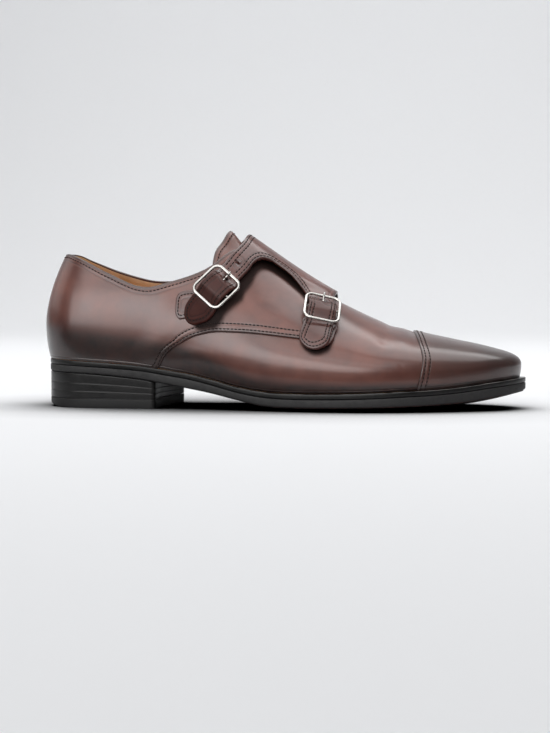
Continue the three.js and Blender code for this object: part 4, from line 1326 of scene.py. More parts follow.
    def prong_piece(self, name: str, metal: bpy.types.Material) -> bpy.types.Object:
        """Make the prong, which rests on the frame.

        Args:
            name: the piece's name.
            metal: its finish.

        Returns:
            The prong.
        """
        points, faces = [], []
        for (a0, h0), (a1, h1) in zip(self.prong_path, self.prong_path[1:]):
            made, sides = self.rod((a0, 0, h0), (a1, 0, h1), (self.prong,) * 3)
            faces += [[k + sum(map(len, points)) for k in f] for f in sides]
            points.append(made)
        return new_mesh(name, self.last.place(np.vstack(points)), faces, metal)


@dataclass
class Upper:
    """Everything of leather over the last: vamp, quarters, toe cap, flap with straps, tabs, tongue and lining.

    Lifts, dips, stands and thicknesses are heights over the last, and rows are how far stitches run from an edge, in
    millimetres. The tongue's end and half width, and where the throw of the flap's painted shadow fades, are places on
    the last.
    """

    last: Last
    buckles: list[Buckle]
    quarter_lift: float = 0.15
    seam_lift: float = 0.85
    vamp_dip: float = 0.55
    cap_lift: float = 1.15
    stand: float = 0.55
    strap: float = 1.8
    flap: float = 2.2
    strap_half: float = 8.6
    over_bar: float = 3.9
    over_tab: float = 1.05
    rise: float = 2.3
    tongue_depth: float = 3.3
    tongue_end: float = 0.60
    tongue_half: float = 0.32
    tongue_arch: float = 4.1
    tab_lift: float = 0.85
    dip_width: float = 11.0
    seam_width: tuple[float, float] = (7.0, 14.0)
    underlap: float = 7.0
    # how far down the flap's painted shadow falls below its edge, in millimetres of the flat
    shadow_drop: float = 4.2
    shadow_throw: tuple[float, float] = (1.6, 2.9)  # painted shadow: how far ahead, and how much more behind the arch
    shadow_throw_fades: tuple[float, float] = (0.42, 0.47)
    rim_row: float = 2.0
    tongue_row: float = 2.6
    tab_row: float = 1.6
    arch_rows: tuple[float, float] = (1.3, 3.0)
    rear_rows: tuple[float, ...] = (1.7,)
    front_rows: tuple[float, ...] = (1.4, 3.2)

    def __post_init__(self) -> None:
        """Lay out the seams in the flat."""
        self.seam = self.last.flat(np.vstack([spline(SEAM_OUTER), spline(SEAM_HIDDEN)]))
        self.seam_inner = self.last.flat(spline(SEAM_INNER))
        cap = spline(CAP_EDGE)
        self.cap_edge = self.last.flat(np.vstack([cap[::-1], (cap * [1, -1])[1:]]))
        self.flap_loop = np.vstack(list(self.flap_edges().values()))

    # heights of the outsides of the leathers over the last

    def vamp_top(self, u: Array, v: Array) -> Array:
        """The vamp dips where the quarters lie over it, and carries the soft folds of walking.

        Args:
            u, v: places on the last.

        Returns:
            The height of its outside.
        """
        ab = self.last.flat(np.stack([u, v], 1))
        near = np.minimum(distance(ab, self.seam), distance(ab, self.seam_inner))
        return -self.vamp_dip * (1 - smooth(near / self.dip_width)) + self.marks(ab, CREASES)

    def quarter_top(self, u: Array, v: Array) -> Array:
        """The outer quarter rises where it lies over the vamp."""
        ab = self.last.flat(np.stack([u, v], 1))
        return self.over_seam(ab, self.seam) + self.marks(ab, CREASES)

    def over_seam(self, ab: Array, seam: Array) -> Array:
        """Work out the height of a quarter, which rises where it lies over the vamp.

        Args:
            ab: places in the flat.
            seam: the quarter's edge.

        Returns:
            The height there.
        """
        level, fade = self.seam_width
        return self.quarter_lift + self.seam_lift * (1 - smooth((distance(ab, seam) - level) / fade))

    def cap_top(self, u: Array, v: Array) -> Array:
        """The toe cap lies over the vamp."""
        return np.full(len(u), self.cap_lift)

    def flap_top(self, u: Array, v: Array) -> Array:
        """The inner quarter rises over the crest to the flap, and the straps rise over their bars.

        Args:
            u, v: places on the last.

        Returns:
            The height of the outside.
        """
        outer = self.strap_stand(u, v) + np.where(v < -0.2, self.strap, self.flap + (self.strap - self.flap)
                                                  * smooth((-v - 0.1) / 0.1))
        ab = self.last.flat(np.stack([u, v], 1))
        low = self.over_seam(ab, self.seam_inner)
        fade = smooth(v / 0.5)
        inner = (self.stand + self.flap) * (1 - fade) + low * fade + self.rise * (1 - smooth(v / 0.35))
        return np.where(v > 0, inner, outer) + self.marks(ab, STRAP_CREASES)

    def tab_top(self, u: Array, v: Array) -> Array:
        """The tabs lie on the quarter."""
        return self.quarter_top(u, v) + self.tab_lift

    def strap_stand(self, u: Array, v: Array) -> Array:
        """Find how far the straps' underside stands off the last.

        Args:
            u, v: places on the last.

        Returns:
            How far, in millimetres.
        """
        p = self.last.point(u, v)
        held, lift = np.zeros(len(u)), np.zeros(len(u))
        for buckle in self.buckles:
            a, c = buckle.local(p).T
            near = smooth((a + 25) / 9) * smooth((24 - np.abs(c)) / 6)
            bump = self.over_bar * smooth((10.3 - np.abs(a)) / 7.6) * smooth((17 - np.abs(c)) / 4)
            held = np.maximum(held, near)
            lift = np.maximum(lift, self.over_tab * near + bump)
        return self.stand + lift + self.rise * (1 - held)

    def marks(self, ab: Array, creases: Sequence[Crease]) -> Array:
        """Add up the marks of creases.

        Args:
            ab: places in the flat.
            creases: the creases.

        Returns:
            How far they raise the leather, in millimetres.
        """
        total = np.zeros(len(ab))
        for crease in creases:
            away = distance(ab, self.last.flat(spline(crease.line)))
            total -= crease.depth * np.exp(-(away / crease.width) ** 2)
        return total

    def wax_and_shade(self, u: Array, v: Array) -> Array:
        """Find how dark wax and painted shade make the leather.

        Wax darkens the toe and the back of the heel; heavier wax and painted shade darken a band along the sole.

        Args:
            u, v: places on the last.

        Returns:
            From 0 to 1.
        """
        toe = 0.62 * smooth((u - 0.70) / 0.14) + 0.2 * smooth((u - 0.86) / 0.12)
        heel = 0.8 * smooth((0.105 - u) / 0.10) * smooth((np.abs(v) - 0.45) / 0.3)
        # the band along the sole: heavier wax and painted shade, reaching highest at the heel
        arch = smooth((u - 0.24) / 0.08) * smooth((0.46 - u) / 0.08)
        start = 0.62 + 0.15 * smooth((u - 0.16) / 0.30) - 0.06 * arch
        low = 0.88 * smooth((np.abs(v) - start) / 0.15)
        return np.clip(np.maximum(np.maximum(toe, heel), low), 0, 1)

    def strap_wax_and_shade(self, u: Array, v: Array) -> Array:
        """Painted shade on the straps: darker and duller in their buckles, and the rear one at its end too.

        Args:
            u, v: places on the last.

        Returns:
            How dark, from 0 to 1.
        """
        dark = self.wax_and_shade(u, v)
        for buckle, start, end, depth in zip(self.buckles, (-8, -9), (60, 8), (0.85, 0.55)):
            along, across = buckle.local(self.last.point(u, v)).T
            held = smooth((along - start) / 4) * smooth((end - along) / 5) * smooth((14 - np.abs(across)) / 3)
            dark = np.maximum(dark, depth * held * (0.75 + 0.25 * smooth((along - 9) / 5)) * (v < -0.2))
        return dark

    def painted_shade(self, u: Array, v: Array) -> Array:
        """Find where the flap's shadow is painted on the leather: under the arch, and beside and below the straps.

        Args:
            u, v: places on the last.

        Returns:
            How deep the painted shadow is, from 0 to 1.
        """
        ab = self.last.flat(np.stack([u, v], 1))
        start, end = self.last.flat([(place, 0.0) for place in self.shadow_throw_fades])[:, 0]
        forward = self.shadow_throw[0] + self.shadow_throw[1] * (1 - smooth((ab[:, 0] - start) / (end - start)))
        below = self.shadow_drop * (0.45 + 0.55 * smooth((v + 0.5) / 0.15))
        cast = ab - np.stack([forward, -below], 1)
        depth = distance(cast, self.flap_loop, closed=True) * np.where(inside(cast, self.flap_loop), 1.0, -1.0)
        return 0.92 * smooth((depth + 1.3) / 3.0)

    # pattern pieces

    def vamp(self) -> Panel:
        """Cut the vamp, which runs on under the quarters and the cap.

        Returns:
            The panel.
        """
        back = beside(self.seam, self.underlap)[4:]
        back_inner = beside(self.seam_inner, -self.underlap)[4:]
        front = self.cap_edge + [self.underlap, 0]
        low = self.last.flat(self.last.sole_line(Side.OUTER, 0.25, 0.78))
        low_inner = self.last.flat(self.last.sole_line(Side.INNER, 0.78, 0.25))
        loop = np.vstack([low, front[2:-2], low_inner, back_inner, back[::-1]])
        return Panel(self.last, "vamp_leather", loop, self.vamp_top, 1.0, wax_and_shade=self.wax_and_shade, painted_shade=self.painted_shade)

    def outer_quarter(self) -> Panel:
        """Cut the outer quarter, from the back seam to under the front buckle.

        Returns:
            The panel.
        """
        rim = self.last.flat(self.last.rim_line(Side.OUTER, 0.556, 0.0))
        low = self.last.flat(self.last.sole_line(Side.OUTER, 0.0, 0.2705, 40))
        loop = np.vstack([low, self.seam, rim])
        return Panel(self.last, "outer_quarter_leather", loop, self.quarter_top, 1.05, wax_and_shade=self.wax_and_shade,
                     painted_shade=self.painted_shade)

    def cap(self) -> Panel:
        """Cut the toe cap.

        Returns:
            The panel.
        """
        low = self.last.flat(self.last.sole_line(Side.OUTER, 0.769, 1.0))
        low_inner = self.last.flat(self.last.sole_line(Side.INNER, 1.0, 0.769))
        loop = np.vstack([self.cap_edge[::-1], low, low_inner[1:]])
        return Panel(self.last, "toe_cap_leather", loop, self.cap_top, 1.1, wax_and_shade=self.wax_and_shade)

    def strap_run(self, buckle: Buckle, side: float, start: float) -> Array:
        """A strap's edge from the flap to its end, on one side, in the flat."""
        return buckle.flat([(a, side * self.strap_half) for a in np.arange(start, 7.5, 1.5)])

    def strap_end(self, buckle: Buckle) -> Array:
        """A strap's rounded end past the buckle, in the flat."""
        return buckle.flat(spline(buckle.end, 5))

    def flap_edges(self) -> dict[str, Array]:
        """Draw the flap's edge.

        Returns:
            Its named stretches, in order, in the flat.
        """
        rear, front = self.buckles
        flat = self.last.flat
        return {
            "rear": flat(spline(FLAP_REAR)),
            "rear_strap_out": self.strap_run(rear, -1, -11.5),
            "rear_strap_end": self.strap_end(rear),
            "rear_strap_back": self.strap_run(rear, 1, -8)[::-1],
            "arch": flat(spline(FLAP_ARCH)),
            "front_strap_out": self.strap_run(front, -1, -2),
            "front_strap_end": self.strap_end(front),
            "front_strap_back": self.strap_run(front, 1, -10)[::-1],
            "front": flat(spline(FLAP_FRONT)),
            "seam_inner": self.seam_inner[::-1],
            "sole": flat(self.last.sole_line(Side.INNER, 0.2715, 0.0, 40)),
            "rim_inner": flat(self.last.rim_line(Side.INNER, 0.0, 0.355)),
            "rear_inner": flat(spline(FLAP_INNER_REAR)[::-1]),
        }

    def flap_panel(self) -> Panel:
        """Cut the inner quarter, the flap over the instep and both straps in one.

        Returns:
            The panel.
        """
        turn = np.linspace(0, 2 * math.pi, 20, endpoint=False)
        holes = []
        for buckle in self.buckles:
            for along, across, long, wide in ((-8.2, 0.0, 1.3, 0.9), (*buckle.spare_hole, 0.55, 0.55)):
                ring = np.stack([along + long * np.cos(turn), across + wide * np.sin(turn)], 1)
                holes.append(buckle.flat(ring, 5.0))
        return Panel(self.last, "monk_strap_leather", self.flap_loop, self.flap_top, self.strap - 0.1,
                     pitch=1.0, rounding=0.75, holes=holes, underside=True, wax_and_shade=self.strap_wax_and_shade)

    def tab(self, name: str, line: Sequence[Sequence[float]]) -> Panel:
        """Args: name and edge. Returns: the tab that holds a buckle."""
        return Panel(self.last, f"{name}_leather", self.last.flat(spline(line, 5, closed=True)), self.tab_top, 0.9,
                     pitch=0.8)

    def tongue_top(self, u: Array, v: Array) -> Array:
        """The tongue lies deep in the throat and arches up at its free end."""
        free = smooth((0.43 - u) / 0.04) * smooth((0.2 - np.abs(v)) / 0.2)
        return self.tongue_arch * free - self.tongue_depth

    def tongue_rear(self) -> Array:
        """Returns: the tongue's free end, in the flat."""
        v = np.linspace(-TONGUE_TIP[-1, 0], TONGUE_TIP[-1, 0], 41)
        return self.last.flat(np.stack([Profile(*TONGUE_TIP.T)(np.abs(v)), v], 1))

    def tongue(self) -> Panel:
        """Cut the tongue, a soft strip under the flap.

        Returns:
            The panel.
        """
        u = np.linspace(TONGUE_TIP[-1, 1], self.tongue_end, 40)[1:]
        v = self.tongue_half * (1 - 0.35 * (u - u[0]) / (u[-1] - u[0]))
        loop = np.vstack([self.tongue_rear(), self.last.flat(np.stack([u, v], 1)),
                          self.last.flat(np.stack([u, -v], 1)[::-1])])
        return Panel(self.last, "tongue_leather", loop, self.tongue_top, 1.9, underside=True, rounding=0.8)

    def build(self, calf: bpy.types.Material, cap: bpy.types.Material, strap: bpy.types.Material,
              tan: bpy.types.Material, thread: bpy.types.Material) -> None:
        """Cut, lay and stitch every leather.

        Args:
            calf: the finish of vamp, quarters and tabs.
            cap: the finish of the toe cap.
            strap: the finish of flap and straps.
            tan: the finish of the lining.
            thread: the finish of the stitches.
        """
        finished(self.vamp().build(calf), "upper", "upper")
        finished(self.outer_quarter().build(calf), "upper")
        finished(self.cap().build(cap), "toe_cap", "toe_cap")
        finished(self.flap_panel().build(strap), "straps", "monk_strap_flap")
        finished(self.tab("rear_tab", REAR_TAB).build(strap), "straps", "buckle_tab_rear")
        finished(self.tab("front_tab", FRONT_TAB).build(strap), "straps", "buckle_tab_front")
        finished(self.tongue().build(calf), "upper", "tongue")
        finished(self.lining_piece(tan), "insole")
        self.stitch(thread)

    def lining_piece(self, tan: bpy.types.Material) -> bpy.types.Object:
        """Make the lining, a sleeve inside the upper with its top edge under the rim.

        Args:
            tan: its finish.

        Returns:
            The piece.
        """
        levels = np.concatenate([[0, 0, 0.006, 0.02], np.linspace(0.06, 1, 18)])
        depth = np.array([-0.9, -1.0, -1.35, -1.9] + [-2.0] * 18)
        us = np.linspace(0, 0.70, 130)
        points = []
        for side in (Side.OUTER, Side.INNER):
            for u in us:
                rim = float(self.last.rim[side](np.array([u]))[0])
                v = side.value * np.clip(rim + 0.004 + (0.985 - rim) * levels, 0.002, 1)
                uu = np.full(len(v), u)
                points.append(self.last.point(uu, v) + self.last.normal(uu, v) * depth[:, None])
        n, rings = len(levels), len(us)
        faces = strips(rings, n, closed_around=False)
        faces += [[k + rings * n for k in f][::-1] for f in faces]
        return new_mesh("tan_lining", self.last.place(np.vstack(points)), faces, tan)

    def stitch(self, thread: bpy.types.Material) -> None:
        """Sew the rows along every edge.

        Args:
            thread: the finish of the stitches.
        """
        fine = Stitching(self.last, "closing_stitches")
        rim = self.last.flat(self.last.rim_line(Side.OUTER, 0.0, 0.375))
        fine.row(beside(rim, -self.rim_row), self.quarter_top)
        seam = self.last.flat(spline(SEAM_OUTER))
        for row in SEAM_ROWS:
            fine.row(beside(seam, row), self.quarter_top)
        for row in CAP_ROWS:
            fine.row(self.cap_edge + [row, 0], self.cap_top)
        edges = self.flap_edges()
        for name, rows in (("rear", STRAP_ROWS), ("arch", self.arch_rows), ("seam_inner", SEAM_ROWS),
                           ("rim_inner", (self.rim_row,)), ("rear_inner", STRAP_ROWS)):
            for row in rows:
                fine.row(beside(edges[name], row), self.flap_top)
        fine.row(beside(self.tongue_rear(), -self.tongue_row), self.tongue_top)
        finished(fine.build(thread), "upper")
        borders = Stitching(self.last, "strap_stitches", pitch=2.1, width=0.75)
        for key, rows in (("rear", self.rear_rows), ("front", self.front_rows)):
            line = np.vstack([edges[f"{key}_strap_{part}"] for part in ("out", "end", "back")])
            for row in rows:
                borders.row(beside(resample(line, 1.0), row), self.flap_top)
        for line in (REAR_TAB, FRONT_TAB):
            loop = self.last.flat(spline(line, 5, closed=True))
            inner = inward(loop, self.tab_row)
            borders.row(np.vstack([inner, inner[:1]]), self.tab_top)
        finished(borders.build(thread), "straps")


# ---- the bottom ------------------------------------------------------------------------------------------------------


@dataclass(frozen=True)
class Ledge:
    """One corner of a layer's side: how far in it lies, and its height over or under a line along the shoe."""

    inset: float
    line: Reading
    rise: float = 0.0
    inner: bool = False  # measured in from the last itself, out of sight

    def height(self, x: Array) -> Array:
        """Its height at x."""
        return self.line(x) + self.rise


@dataclass
class Bottom:
    """Welt, outsole, heel stack and top piece, all drawn from the last's lower edge.

    worn_from and worn_over say where along x the back of the heel is worn away, and walked says where the sole is.
    """

    last: Last
    welt: float = 2.8
    welt_inset: float = 2.3
    gap: float = 0.3
    top_piece: float = 5.7
    heel_outer: float = 75.5
    heel_inner: float = 84.0
    heel_hollow: float = 3.0
    heel_edge: float = 33.0
    heel_middle: tuple[float, float] = (36.0, 1.0)
    heel_clear: float = 0.3
    lifts: tuple[float, ...] = (0.0, 0.30, 0.62, 1.0)
    groove: tuple[tuple[float, float], ...] = ((0.0, 0.16), (0.02, 0.03), (0.05, 0.0))
    worn_depth: float = 3.2
    worn_from: float = 2.0
    worn_over: float = 16.0
    walked: tuple[float, float] = (120.0, 300.0)

    def outline(self, u: Array, side: Side, out: Reading | None = None, inset: float = 0.0) -> Array:
        """Draw the sole's outline.

        Args:
            u: places along the last.
            side: of the shoe.
            out: how far it stands out past the last, at x.
            inset: how far in from there it lies.

        Returns:
            Its x and y there.
        """
        v = np.full(len(u), side.value * 0.5)
        sx, sy, ex, ey = self.last.section(u, v)[:, :4].T
        reach = np.hypot(ex - sx, ey - sy)
        far = reach + ((out(ex) if out else 0.0) - inset)
        return np.stack([sx + (ex - sx) / reach * far, sy + (ey - sy) / reach * far], 1)

    def stations(self) -> Array:
        """Places along the sole, close together at heel and toe."""
        return np.concatenate([np.linspace(0, 0.12, 34)[:-1], np.linspace(0.12, 0.86, 96)[:-1],
                               np.linspace(0.86, 1, 44)])

    def side_rows(self, us: Array, side: Side, edge: Sequence[Ledge]) -> list[Array]:
        """Draw a layer's side.

        Args:
            us: its stations.
            side: of the shoe.
            edge: its corners from top to bottom.

        Returns:
            A row of points for each corner.
        """
        rows = []
        for ledge in edge:
            xy = self.outline(us, side, None if ledge.inner else self.last.out, ledge.inset)
            rows.append(np.column_stack([xy, ledge.height(xy[:, 0])]))
        return rows

    def outsole(self, leather: bpy.types.Material) -> bpy.types.Object:
        """Make the outsole, which is domed under the ball of the foot.

        Args:
            leather: its finish.

        Returns:
            The piece, with how far the ground has worn it.
        """
        us, top, rim = self.stations(), self.outsole_top, self.last.edge
        edge = [Ledge(0.5, top), Ledge(0.12, top, -0.18), Ledge(0.0, top, -0.6), Ledge(0.0, rim, 1.2),
                Ledge(0.15, rim, 0.6), Ledge(0.6, rim, 0.15), Ledge(1.3, rim)]
        parts = np.concatenate([[0.015, 0.04, 0.08, 0.14, 0.22], np.linspace(0.3, 0.7, 7),
                                [0.78, 0.86, 0.92, 0.96, 0.985]])
        outer, inner = (self.side_rows(us, side, edge) for side in Side)
        lower, upper = ([outer[at][:, :2] * (1 - part) + inner[at][:, :2] * part for part in parts] for at in (-1, 0))
        lower = [np.column_stack([xy, self.dome(xy[:, 0], np.full(len(us), part))]) for xy, part in zip(lower, parts)]
        upper = [np.column_stack([xy, top(xy[:, 0])]) for xy in upper]
        points = np.stack(outer + lower + inner[::-1] + upper[::-1], 1)
        n = points.shape[1]
        spread = np.concatenate([np.zeros(len(edge)), parts, np.ones(len(edge)), parts[::-1]])
        low = (np.arange(n) >= len(edge) - 2) & (np.arange(n) < len(edge) * 2 + len(parts))
        worn = np.stack([np.where(low, self.wear(p[:, 0], spread), 0) for p in points]).ravel()
        return new_mesh("leather_outsole", self.last.place(points.reshape(-1, 3)), strips(len(us), n), leather,
                        {"wear": worn})

    def wear(self, x: Array, part: Array) -> Array:
        """How far the stain is worn through, at x and part across: along the rim of the fore part."""
        start, end = self.walked
        return smooth((x - start) / 60) * smooth((end - x) / 20) * smooth(1 - np.minimum(part, 1 - part) / 0.05)

    def outsole_top(self, x: Array) -> Array:
        """Height of the outsole's upper face."""
        return self.last.seat(x) - 2 * self.gap - self.welt

    def welt_top(self, x: Array) -> Array:
        """Height of the welt's upper face."""
        return self.last.seat(x) - self.gap

    def welt_foot(self, x: Array) -> Array:
        """Height of the welt's lower face."""
        return self.welt_top(x) - self.welt

    def worn_back(self, x: Array) -> Array:
        """Height of the heel's lower face, worn away at the back."""
        return self.worn_depth * np.clip(1 - (x - self.worn_from) / self.worn_over, 0, 1) ** 2

    def rubber_top(self, x: Array) -> Array:
        """Height of the rubber's upper face."""
        return np.full(len(x), self.top_piece)

    def stack_foot(self, x: Array) -> Array:
        """Height of the stack's lower face."""
        return self.rubber_top(x) + self.gap

    def stack_top(self, x: Array) -> Array:
        """Height of the stack's upper face."""
        return self.last.tread(x) - self.gap

    def dome(self, x: Array, part: Array) -> Array:
        """Height of the outsole's lower face, which sinks from its rim to its tread."""
        rim, tread = self.last.edge(x), self.last.tread(x)
        return rim + (tread - rim) * smooth(np.minimum(part, 1 - part) / 0.3)

    def build(self, ink: bpy.types.Material, tread: bpy.types.Material, rubber: bpy.types.Material) -> None:
        """Build the bottom from the outsole to the heel.

        Args:
            ink: the finish of the edges.
            tread: the finish of the sole's face.
            rubber: the finish of the heel's top piece.
        """
        finished(self.outsole(tread), "sole_edge", "outsole")
        finished(self.welt_ring(ink), "sole_edge", "welt")
        finished(self.heel_layer("stacked_heel", self.stack_foot, self.stack_top, self.lifts, ink), "sole_edge",
                 "heel_stack")
        finished(self.heel_layer("rubber_top_piece", self.worn_back, self.rubber_top, (0.0, 1.0), rubber),
                 "heel_rubber", "heel_top_piece")

    def welt_ring(self, ink: bpy.types.Material) -> bpy.types.Object:
        """Make the welt, a strip all round under the upper's edge.

        Args:
            ink: its finish.

        Returns:
            The piece.
        """
        high, low, us = self.welt_top, self.welt_foot, self.stations()
        edge = [Ledge(self.welt_inset, high, inner=True), Ledge(0.35, high), Ledge(0.08, high, -0.12),
                Ledge(0.0, high, -0.4), Ledge(0.0, low, 0.5), Ledge(0.1, low, 0.15), Ledge(0.4, low),
                Ledge(self.welt_inset, low, inner=True)]
        points = np.vstack([np.stack(self.side_rows(us, Side.OUTER, edge), 1),
                            np.stack(self.side_rows(us[::-1][1:-1], Side.INNER, edge), 1)])
        rings, n = points.shape[:2]
        # the top outer corner gets the rubbed ink and the painted highlight
        rubbed_and_highlight = np.tile(np.arange(n) == 1, rings)
        return new_mesh("sewn_welt", self.last.place(points.reshape(-1, 3)), strips(rings, n, closed_rings=True), ink,
                        {"rubbed_and_highlight": rubbed_and_highlight})

    def heel_layer(self, name: str, low: Reading, high: Reading, cuts: Sequence[float],
                   material: bpy.types.Material) -> bpy.types.Object:
        """A layer of the heel, its lifts marked by fine grooves.

        Args:
            name: the piece's name.
            low: height of its lower face at x.
            high: height of its upper face at x.
            cuts: where its lifts part, as parts of its height.
            material: its finish.

        Returns:
            The piece; its breast, which faces forward, is marked so that its shine is taken away as painted shade.
        """
        us = np.concatenate([np.linspace(0, 0.12, 40)[:-1], np.linspace(0.12, 0.34, 30)])
        y = np.linspace(-self.heel_edge, self.heel_edge, 21)
        front_x = np.interp(y, [-self.heel_edge, 0, self.heel_edge],
                            [self.heel_outer, (self.heel_outer + self.heel_inner) / 2, self.heel_inner])
        front_x -= self.heel_hollow * (1 - (y / self.heel_edge) ** 2)
        face = np.stack([front_x, y], 1)
        outer, inner = (line[line[:, 0] < np.interp(line[:, 1], y, front_x) - self.heel_clear]
                        for line in (self.outline(us, side) for side in Side))
        face = face[(face[:, 1] > outer[-1, 1]) & (face[:, 1] < inner[-1, 1])]
        loop = np.vstack([outer, face, inner[::-1][:-1]])
        inwards = np.array(self.heel_middle) - loop
        inwards /= np.linalg.norm(inwards, axis=1, keepdims=True)
        rows = []
        for a, b in zip(cuts[:-1], cuts[1:]):
            rows += [(a + d, inset) for d, inset in self.groove] + [(b - d, inset) for d, inset in self.groove[::-1]]
        points = []
        for part, inset in rows:
            xy = loop + inwards * inset
            bottom = low(xy[:, 0])
            points.append(np.column_stack([xy, bottom + (high(xy[:, 0]) - bottom) * part]))
        n = len(loop)
        faces = [face[::-1] for face in strips(len(points), n) + caps(len(points), n)]
        at_breast = (np.arange(n) >= len(outer)) & (np.arange(n) < len(outer) + len(face))
        return new_mesh(name, self.last.place(np.vstack(points)), faces, material,
                        {"painted_shade": np.tile(at_breast, len(rows))})


# ---- studio ----------------------------------------------------------------------------------------------------------


@dataclass(frozen=True)
class Softbox:
    """A rectangular light; shine is how bright its face is, where white paper in full light is about 1."""

    name: str
    where: tuple[float, float, float]
    size: tuple[float, float]
    shine: float
    target: tuple[float, float, float] = (0.0, 0.0, 0.05)
    sheen_only: bool = False  # it shows only in what shines

    def hang(self) -> None:
        """Hang it, facing its target."""
        data = bpy.data.lights.new(self.name, "AREA")
        data.shape, data.size, data.size_y = "RECTANGLE", *self.size
        data.energy = self.shine * math.pi * self.size[0] * self.size[1]
        made = bpy.data.objects.new(self.name, data)
        made.location = self.where
        made.rotation_mode = "QUATERNION"
        made.rotation_quaternion = (Vector(self.target) - Vector(self.where)).to_track_quat("-Z", "Y")
        made.visible_diffuse = not self.sheen_only
        bpy.context.scene.collection.objects.link(made)


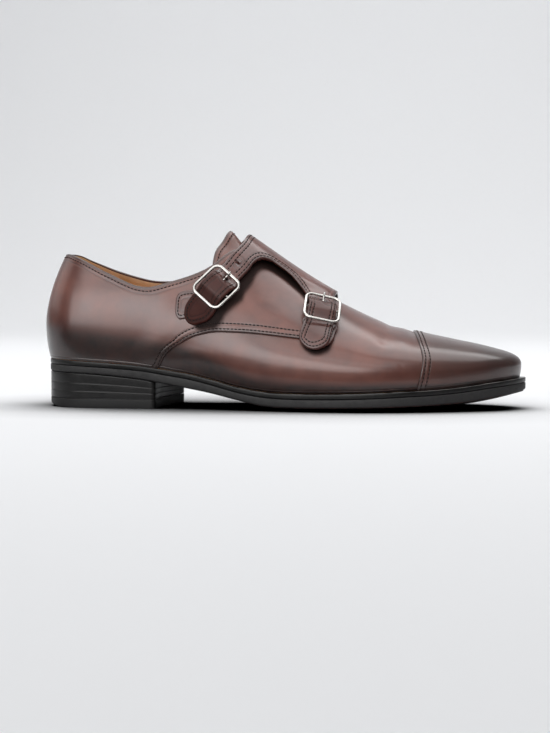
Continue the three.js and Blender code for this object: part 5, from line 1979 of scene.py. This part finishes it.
@dataclass
class Studio:
    """Paper sweep, soft lights and camera."""

    lens: float = 82.25
    stand: tuple[float, float, float] = (0.13221, -1.04055, 0.078)
    aim: tuple[float, float, float] = (-0.1304, 0.9902, -0.0504)
    reach: float = 3.52
    turn: float = 1.4
    bend: float = 0.9
    wall: float = 3.5
    flag_tops: tuple[tuple[float, float], ...] = ((-0.75, 0.074), (-0.17, 0.066), (-0.10, 0.044), (0.05, 0.036),
                                                  (0.60, 0.034))
    flag_reach: tuple[float, float] = (-0.09, -0.25)
    flag_low: float = 0.003
    glow: tuple[tuple[float, float], ...] = ((0.0, 0.2), (0.45, 0.08), (0.56, 0.08), (0.7, 0.2), (1.0, 0.25))
    far_wall: float = 0.82
    lights: tuple[Softbox, ...] = (
        Softbox("overhead softbox", (0.0, 0.15, 1.45), (2.2, 1.3), 2.2),
        Softbox("front softbox", (-0.3, -1.9, 1.1), (2.2, 1.1), 1.35),
        Softbox("sheen strip", (-0.75, -1.8, 0.6), (2.6, 0.9), 3.6, sheen_only=True),
        Softbox("shoulder strip", (-0.2, -1.05, 1.4), (2.2, 0.95), 1.7, sheen_only=True),
        Softbox("heel strip", (-1.4, 0.3, 0.7), (1.0, 0.9), 0.9, sheen_only=True),
        Softbox("wall wash", (0.0, 0.8, 1.9), (3.2, 1.1), 2.1, (0.0, 2.2, 0.5)),
    )

    def camera(self) -> None:
        """Set up the camera, level and a little above the shoe."""
        data = bpy.data.cameras.new("camera")
        data.lens, data.sensor_width, data.sensor_fit = self.lens, 36.0, "AUTO"
        made = bpy.data.objects.new("camera", data)
        made.location = self.stand
        made.rotation_mode = "QUATERNION"
        made.rotation_quaternion = Vector(self.aim).to_track_quat("-Z", "Y")
        bpy.context.scene.collection.objects.link(made)
        bpy.context.scene.camera = made

    def sweep(self) -> None:
        """Lay the paper: a floor that curves up behind into a wall."""
        profile = [(-3.0, 0.0), (-1.0, 0.0), (0.0, 0.0), (self.turn, 0.0)]
        profile += [(self.turn + self.bend * math.sin(k), self.bend * (1 - math.cos(k)))
                    for k in np.linspace(0.1, math.pi / 2, 16)]
        profile += [(self.turn + self.bend, self.wall)]
        xs = np.linspace(-self.reach, self.reach, 9)
        points = np.array([(x, y, z) for y, z in profile for x in xs])
        paper = new_mesh("paper_sweep", points, [f[::-1] for f in strips(len(profile), len(xs), closed_around=False)],
                         StudioPaper("white background paper").build())

    def flag(self) -> None:
        """Lay a bent black card in front, seen only by the shoe, as a flag that cuts the glare off its lower half."""
        (near, far), low = self.flag_reach, self.flag_low
        points = np.array([(x, y, z) for x, top in self.flag_tops for y, z in ((near, low), (far, low), (far, top))])
        card = new_mesh("black_flag", points, strips(len(self.flag_tops), 3, closed_around=False),
                        BlackCard("black card").build())
        card.visible_camera = card.visible_diffuse = card.visible_shadow = card.visible_transmission = False

    def world(self) -> None:
        """Fill the room with a low even light; behind the paper's edges the room looks as pale as the paper."""
        world = bpy.data.worlds.new("studio room")
        world.use_nodes = True
        tree = world.node_tree
        tree.nodes.clear()
        place = add_node(tree, "TexCoord", output="Generated")
        up = add_node(tree, "SeparateXYZ", {0: place}, output=2)
        height = add_node(tree, "MapRange", {"Value": up, "From Min": -1.0, "From Max": 1.0})
        glow = add_node(tree, "ValToRGB", {"Fac": height},
                        stops=[(at, grey(value)) for at, value in self.glow])
        seen = add_node(tree, "LightPath", output="Is Camera Ray")
        shown = add_node(tree, "Mix", {"Factor": seen, "A": glow, "B": grey(self.far_wall)},
                         data_type="RGBA", output="Result")
        background = add_node(tree, "Background", {"Color": shown, "Strength": 1.0})
        add_node(tree, "OutputWorld", {"Surface": background})
        bpy.context.scene.world = world

    def build(self) -> None:
        """Build the whole studio."""
        bpy.context.scene.view_settings.view_transform = "Standard"
        self.camera()
        self.sweep()
        self.flag()
        self.world()
        for light in self.lights:
            light.hang()


def main() -> None:
    """Build the shoe and its studio in order."""
    logging.basicConfig(level=logging.INFO, format="%(message)s")
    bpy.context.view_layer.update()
    studio = Studio()
    studio.build()
    LOG.info("studio is up")
    last = Last()
    last.settle()
    LOG.info("last stands at %s", last.shift.round(3).tolist())
    buckles = [
        Buckle(last, "rear", 113.7, 73.1, (-0.709, -0.705),
               ((8, -8.6), (14.1, -8), (19.5, -7), (22.7, -5.4), (26, -2), (27.2, 2), (25.8, 5.3), (22.5, 8),
                (18.1, 10.3), (12.5, 10.2), (8, 8.6)), (-21.9, -3.1)),
        Buckle(last, "front", 177.0, 58.6, (0.006, -1.0),
               ((8, -8.6), (16.7, -10.4), (22, -10.9), (25, -9.3), (28.2, -5.8), (29.6, -2), (29.2, 2), (26.3, 6.3),
                (22, 7.4), (17.9, 7.6), (8, 8.6)), (-5.9, 1.5)),
    ]
    calf = BurnishedCalf("burnished brown calf").build()
    cap = BurnishedCalf("toe cap calf, waxed dark", dark="#1e1716", rows_mm=CAP_ROWS).build()
    # on the straps, the dark and the lost shine are painted shade
    strap = BurnishedCalf("strap calf", light="#70382b", deep="#4d231b", dark="#3c150e", rows_mm=STRAP_ROWS,
                          shade_dulls=1.0).build()
    tan = TannedLining("tan lining leather").build()
    thread = WaxedThread("waxed brown linen thread").build()
    ink = InkedEdge("black inked edge").build()
    tread = WornTread("worn black sole leather").build()
    rubber = MouldedRubber("black heel rubber").build()
    nickel = PolishedNickel("polished nickel plate").build()
    Upper(last, buckles).build(calf, cap, strap, tan, thread)
    for buckle in buckles:
        buckle.build(nickel)
    Bottom(last).build(ink, tread, rubber)
    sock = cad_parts["insole"]
    sock.data.materials.clear()
    sock.data.materials.append(tan)


if __name__ == "__main__":
    main()
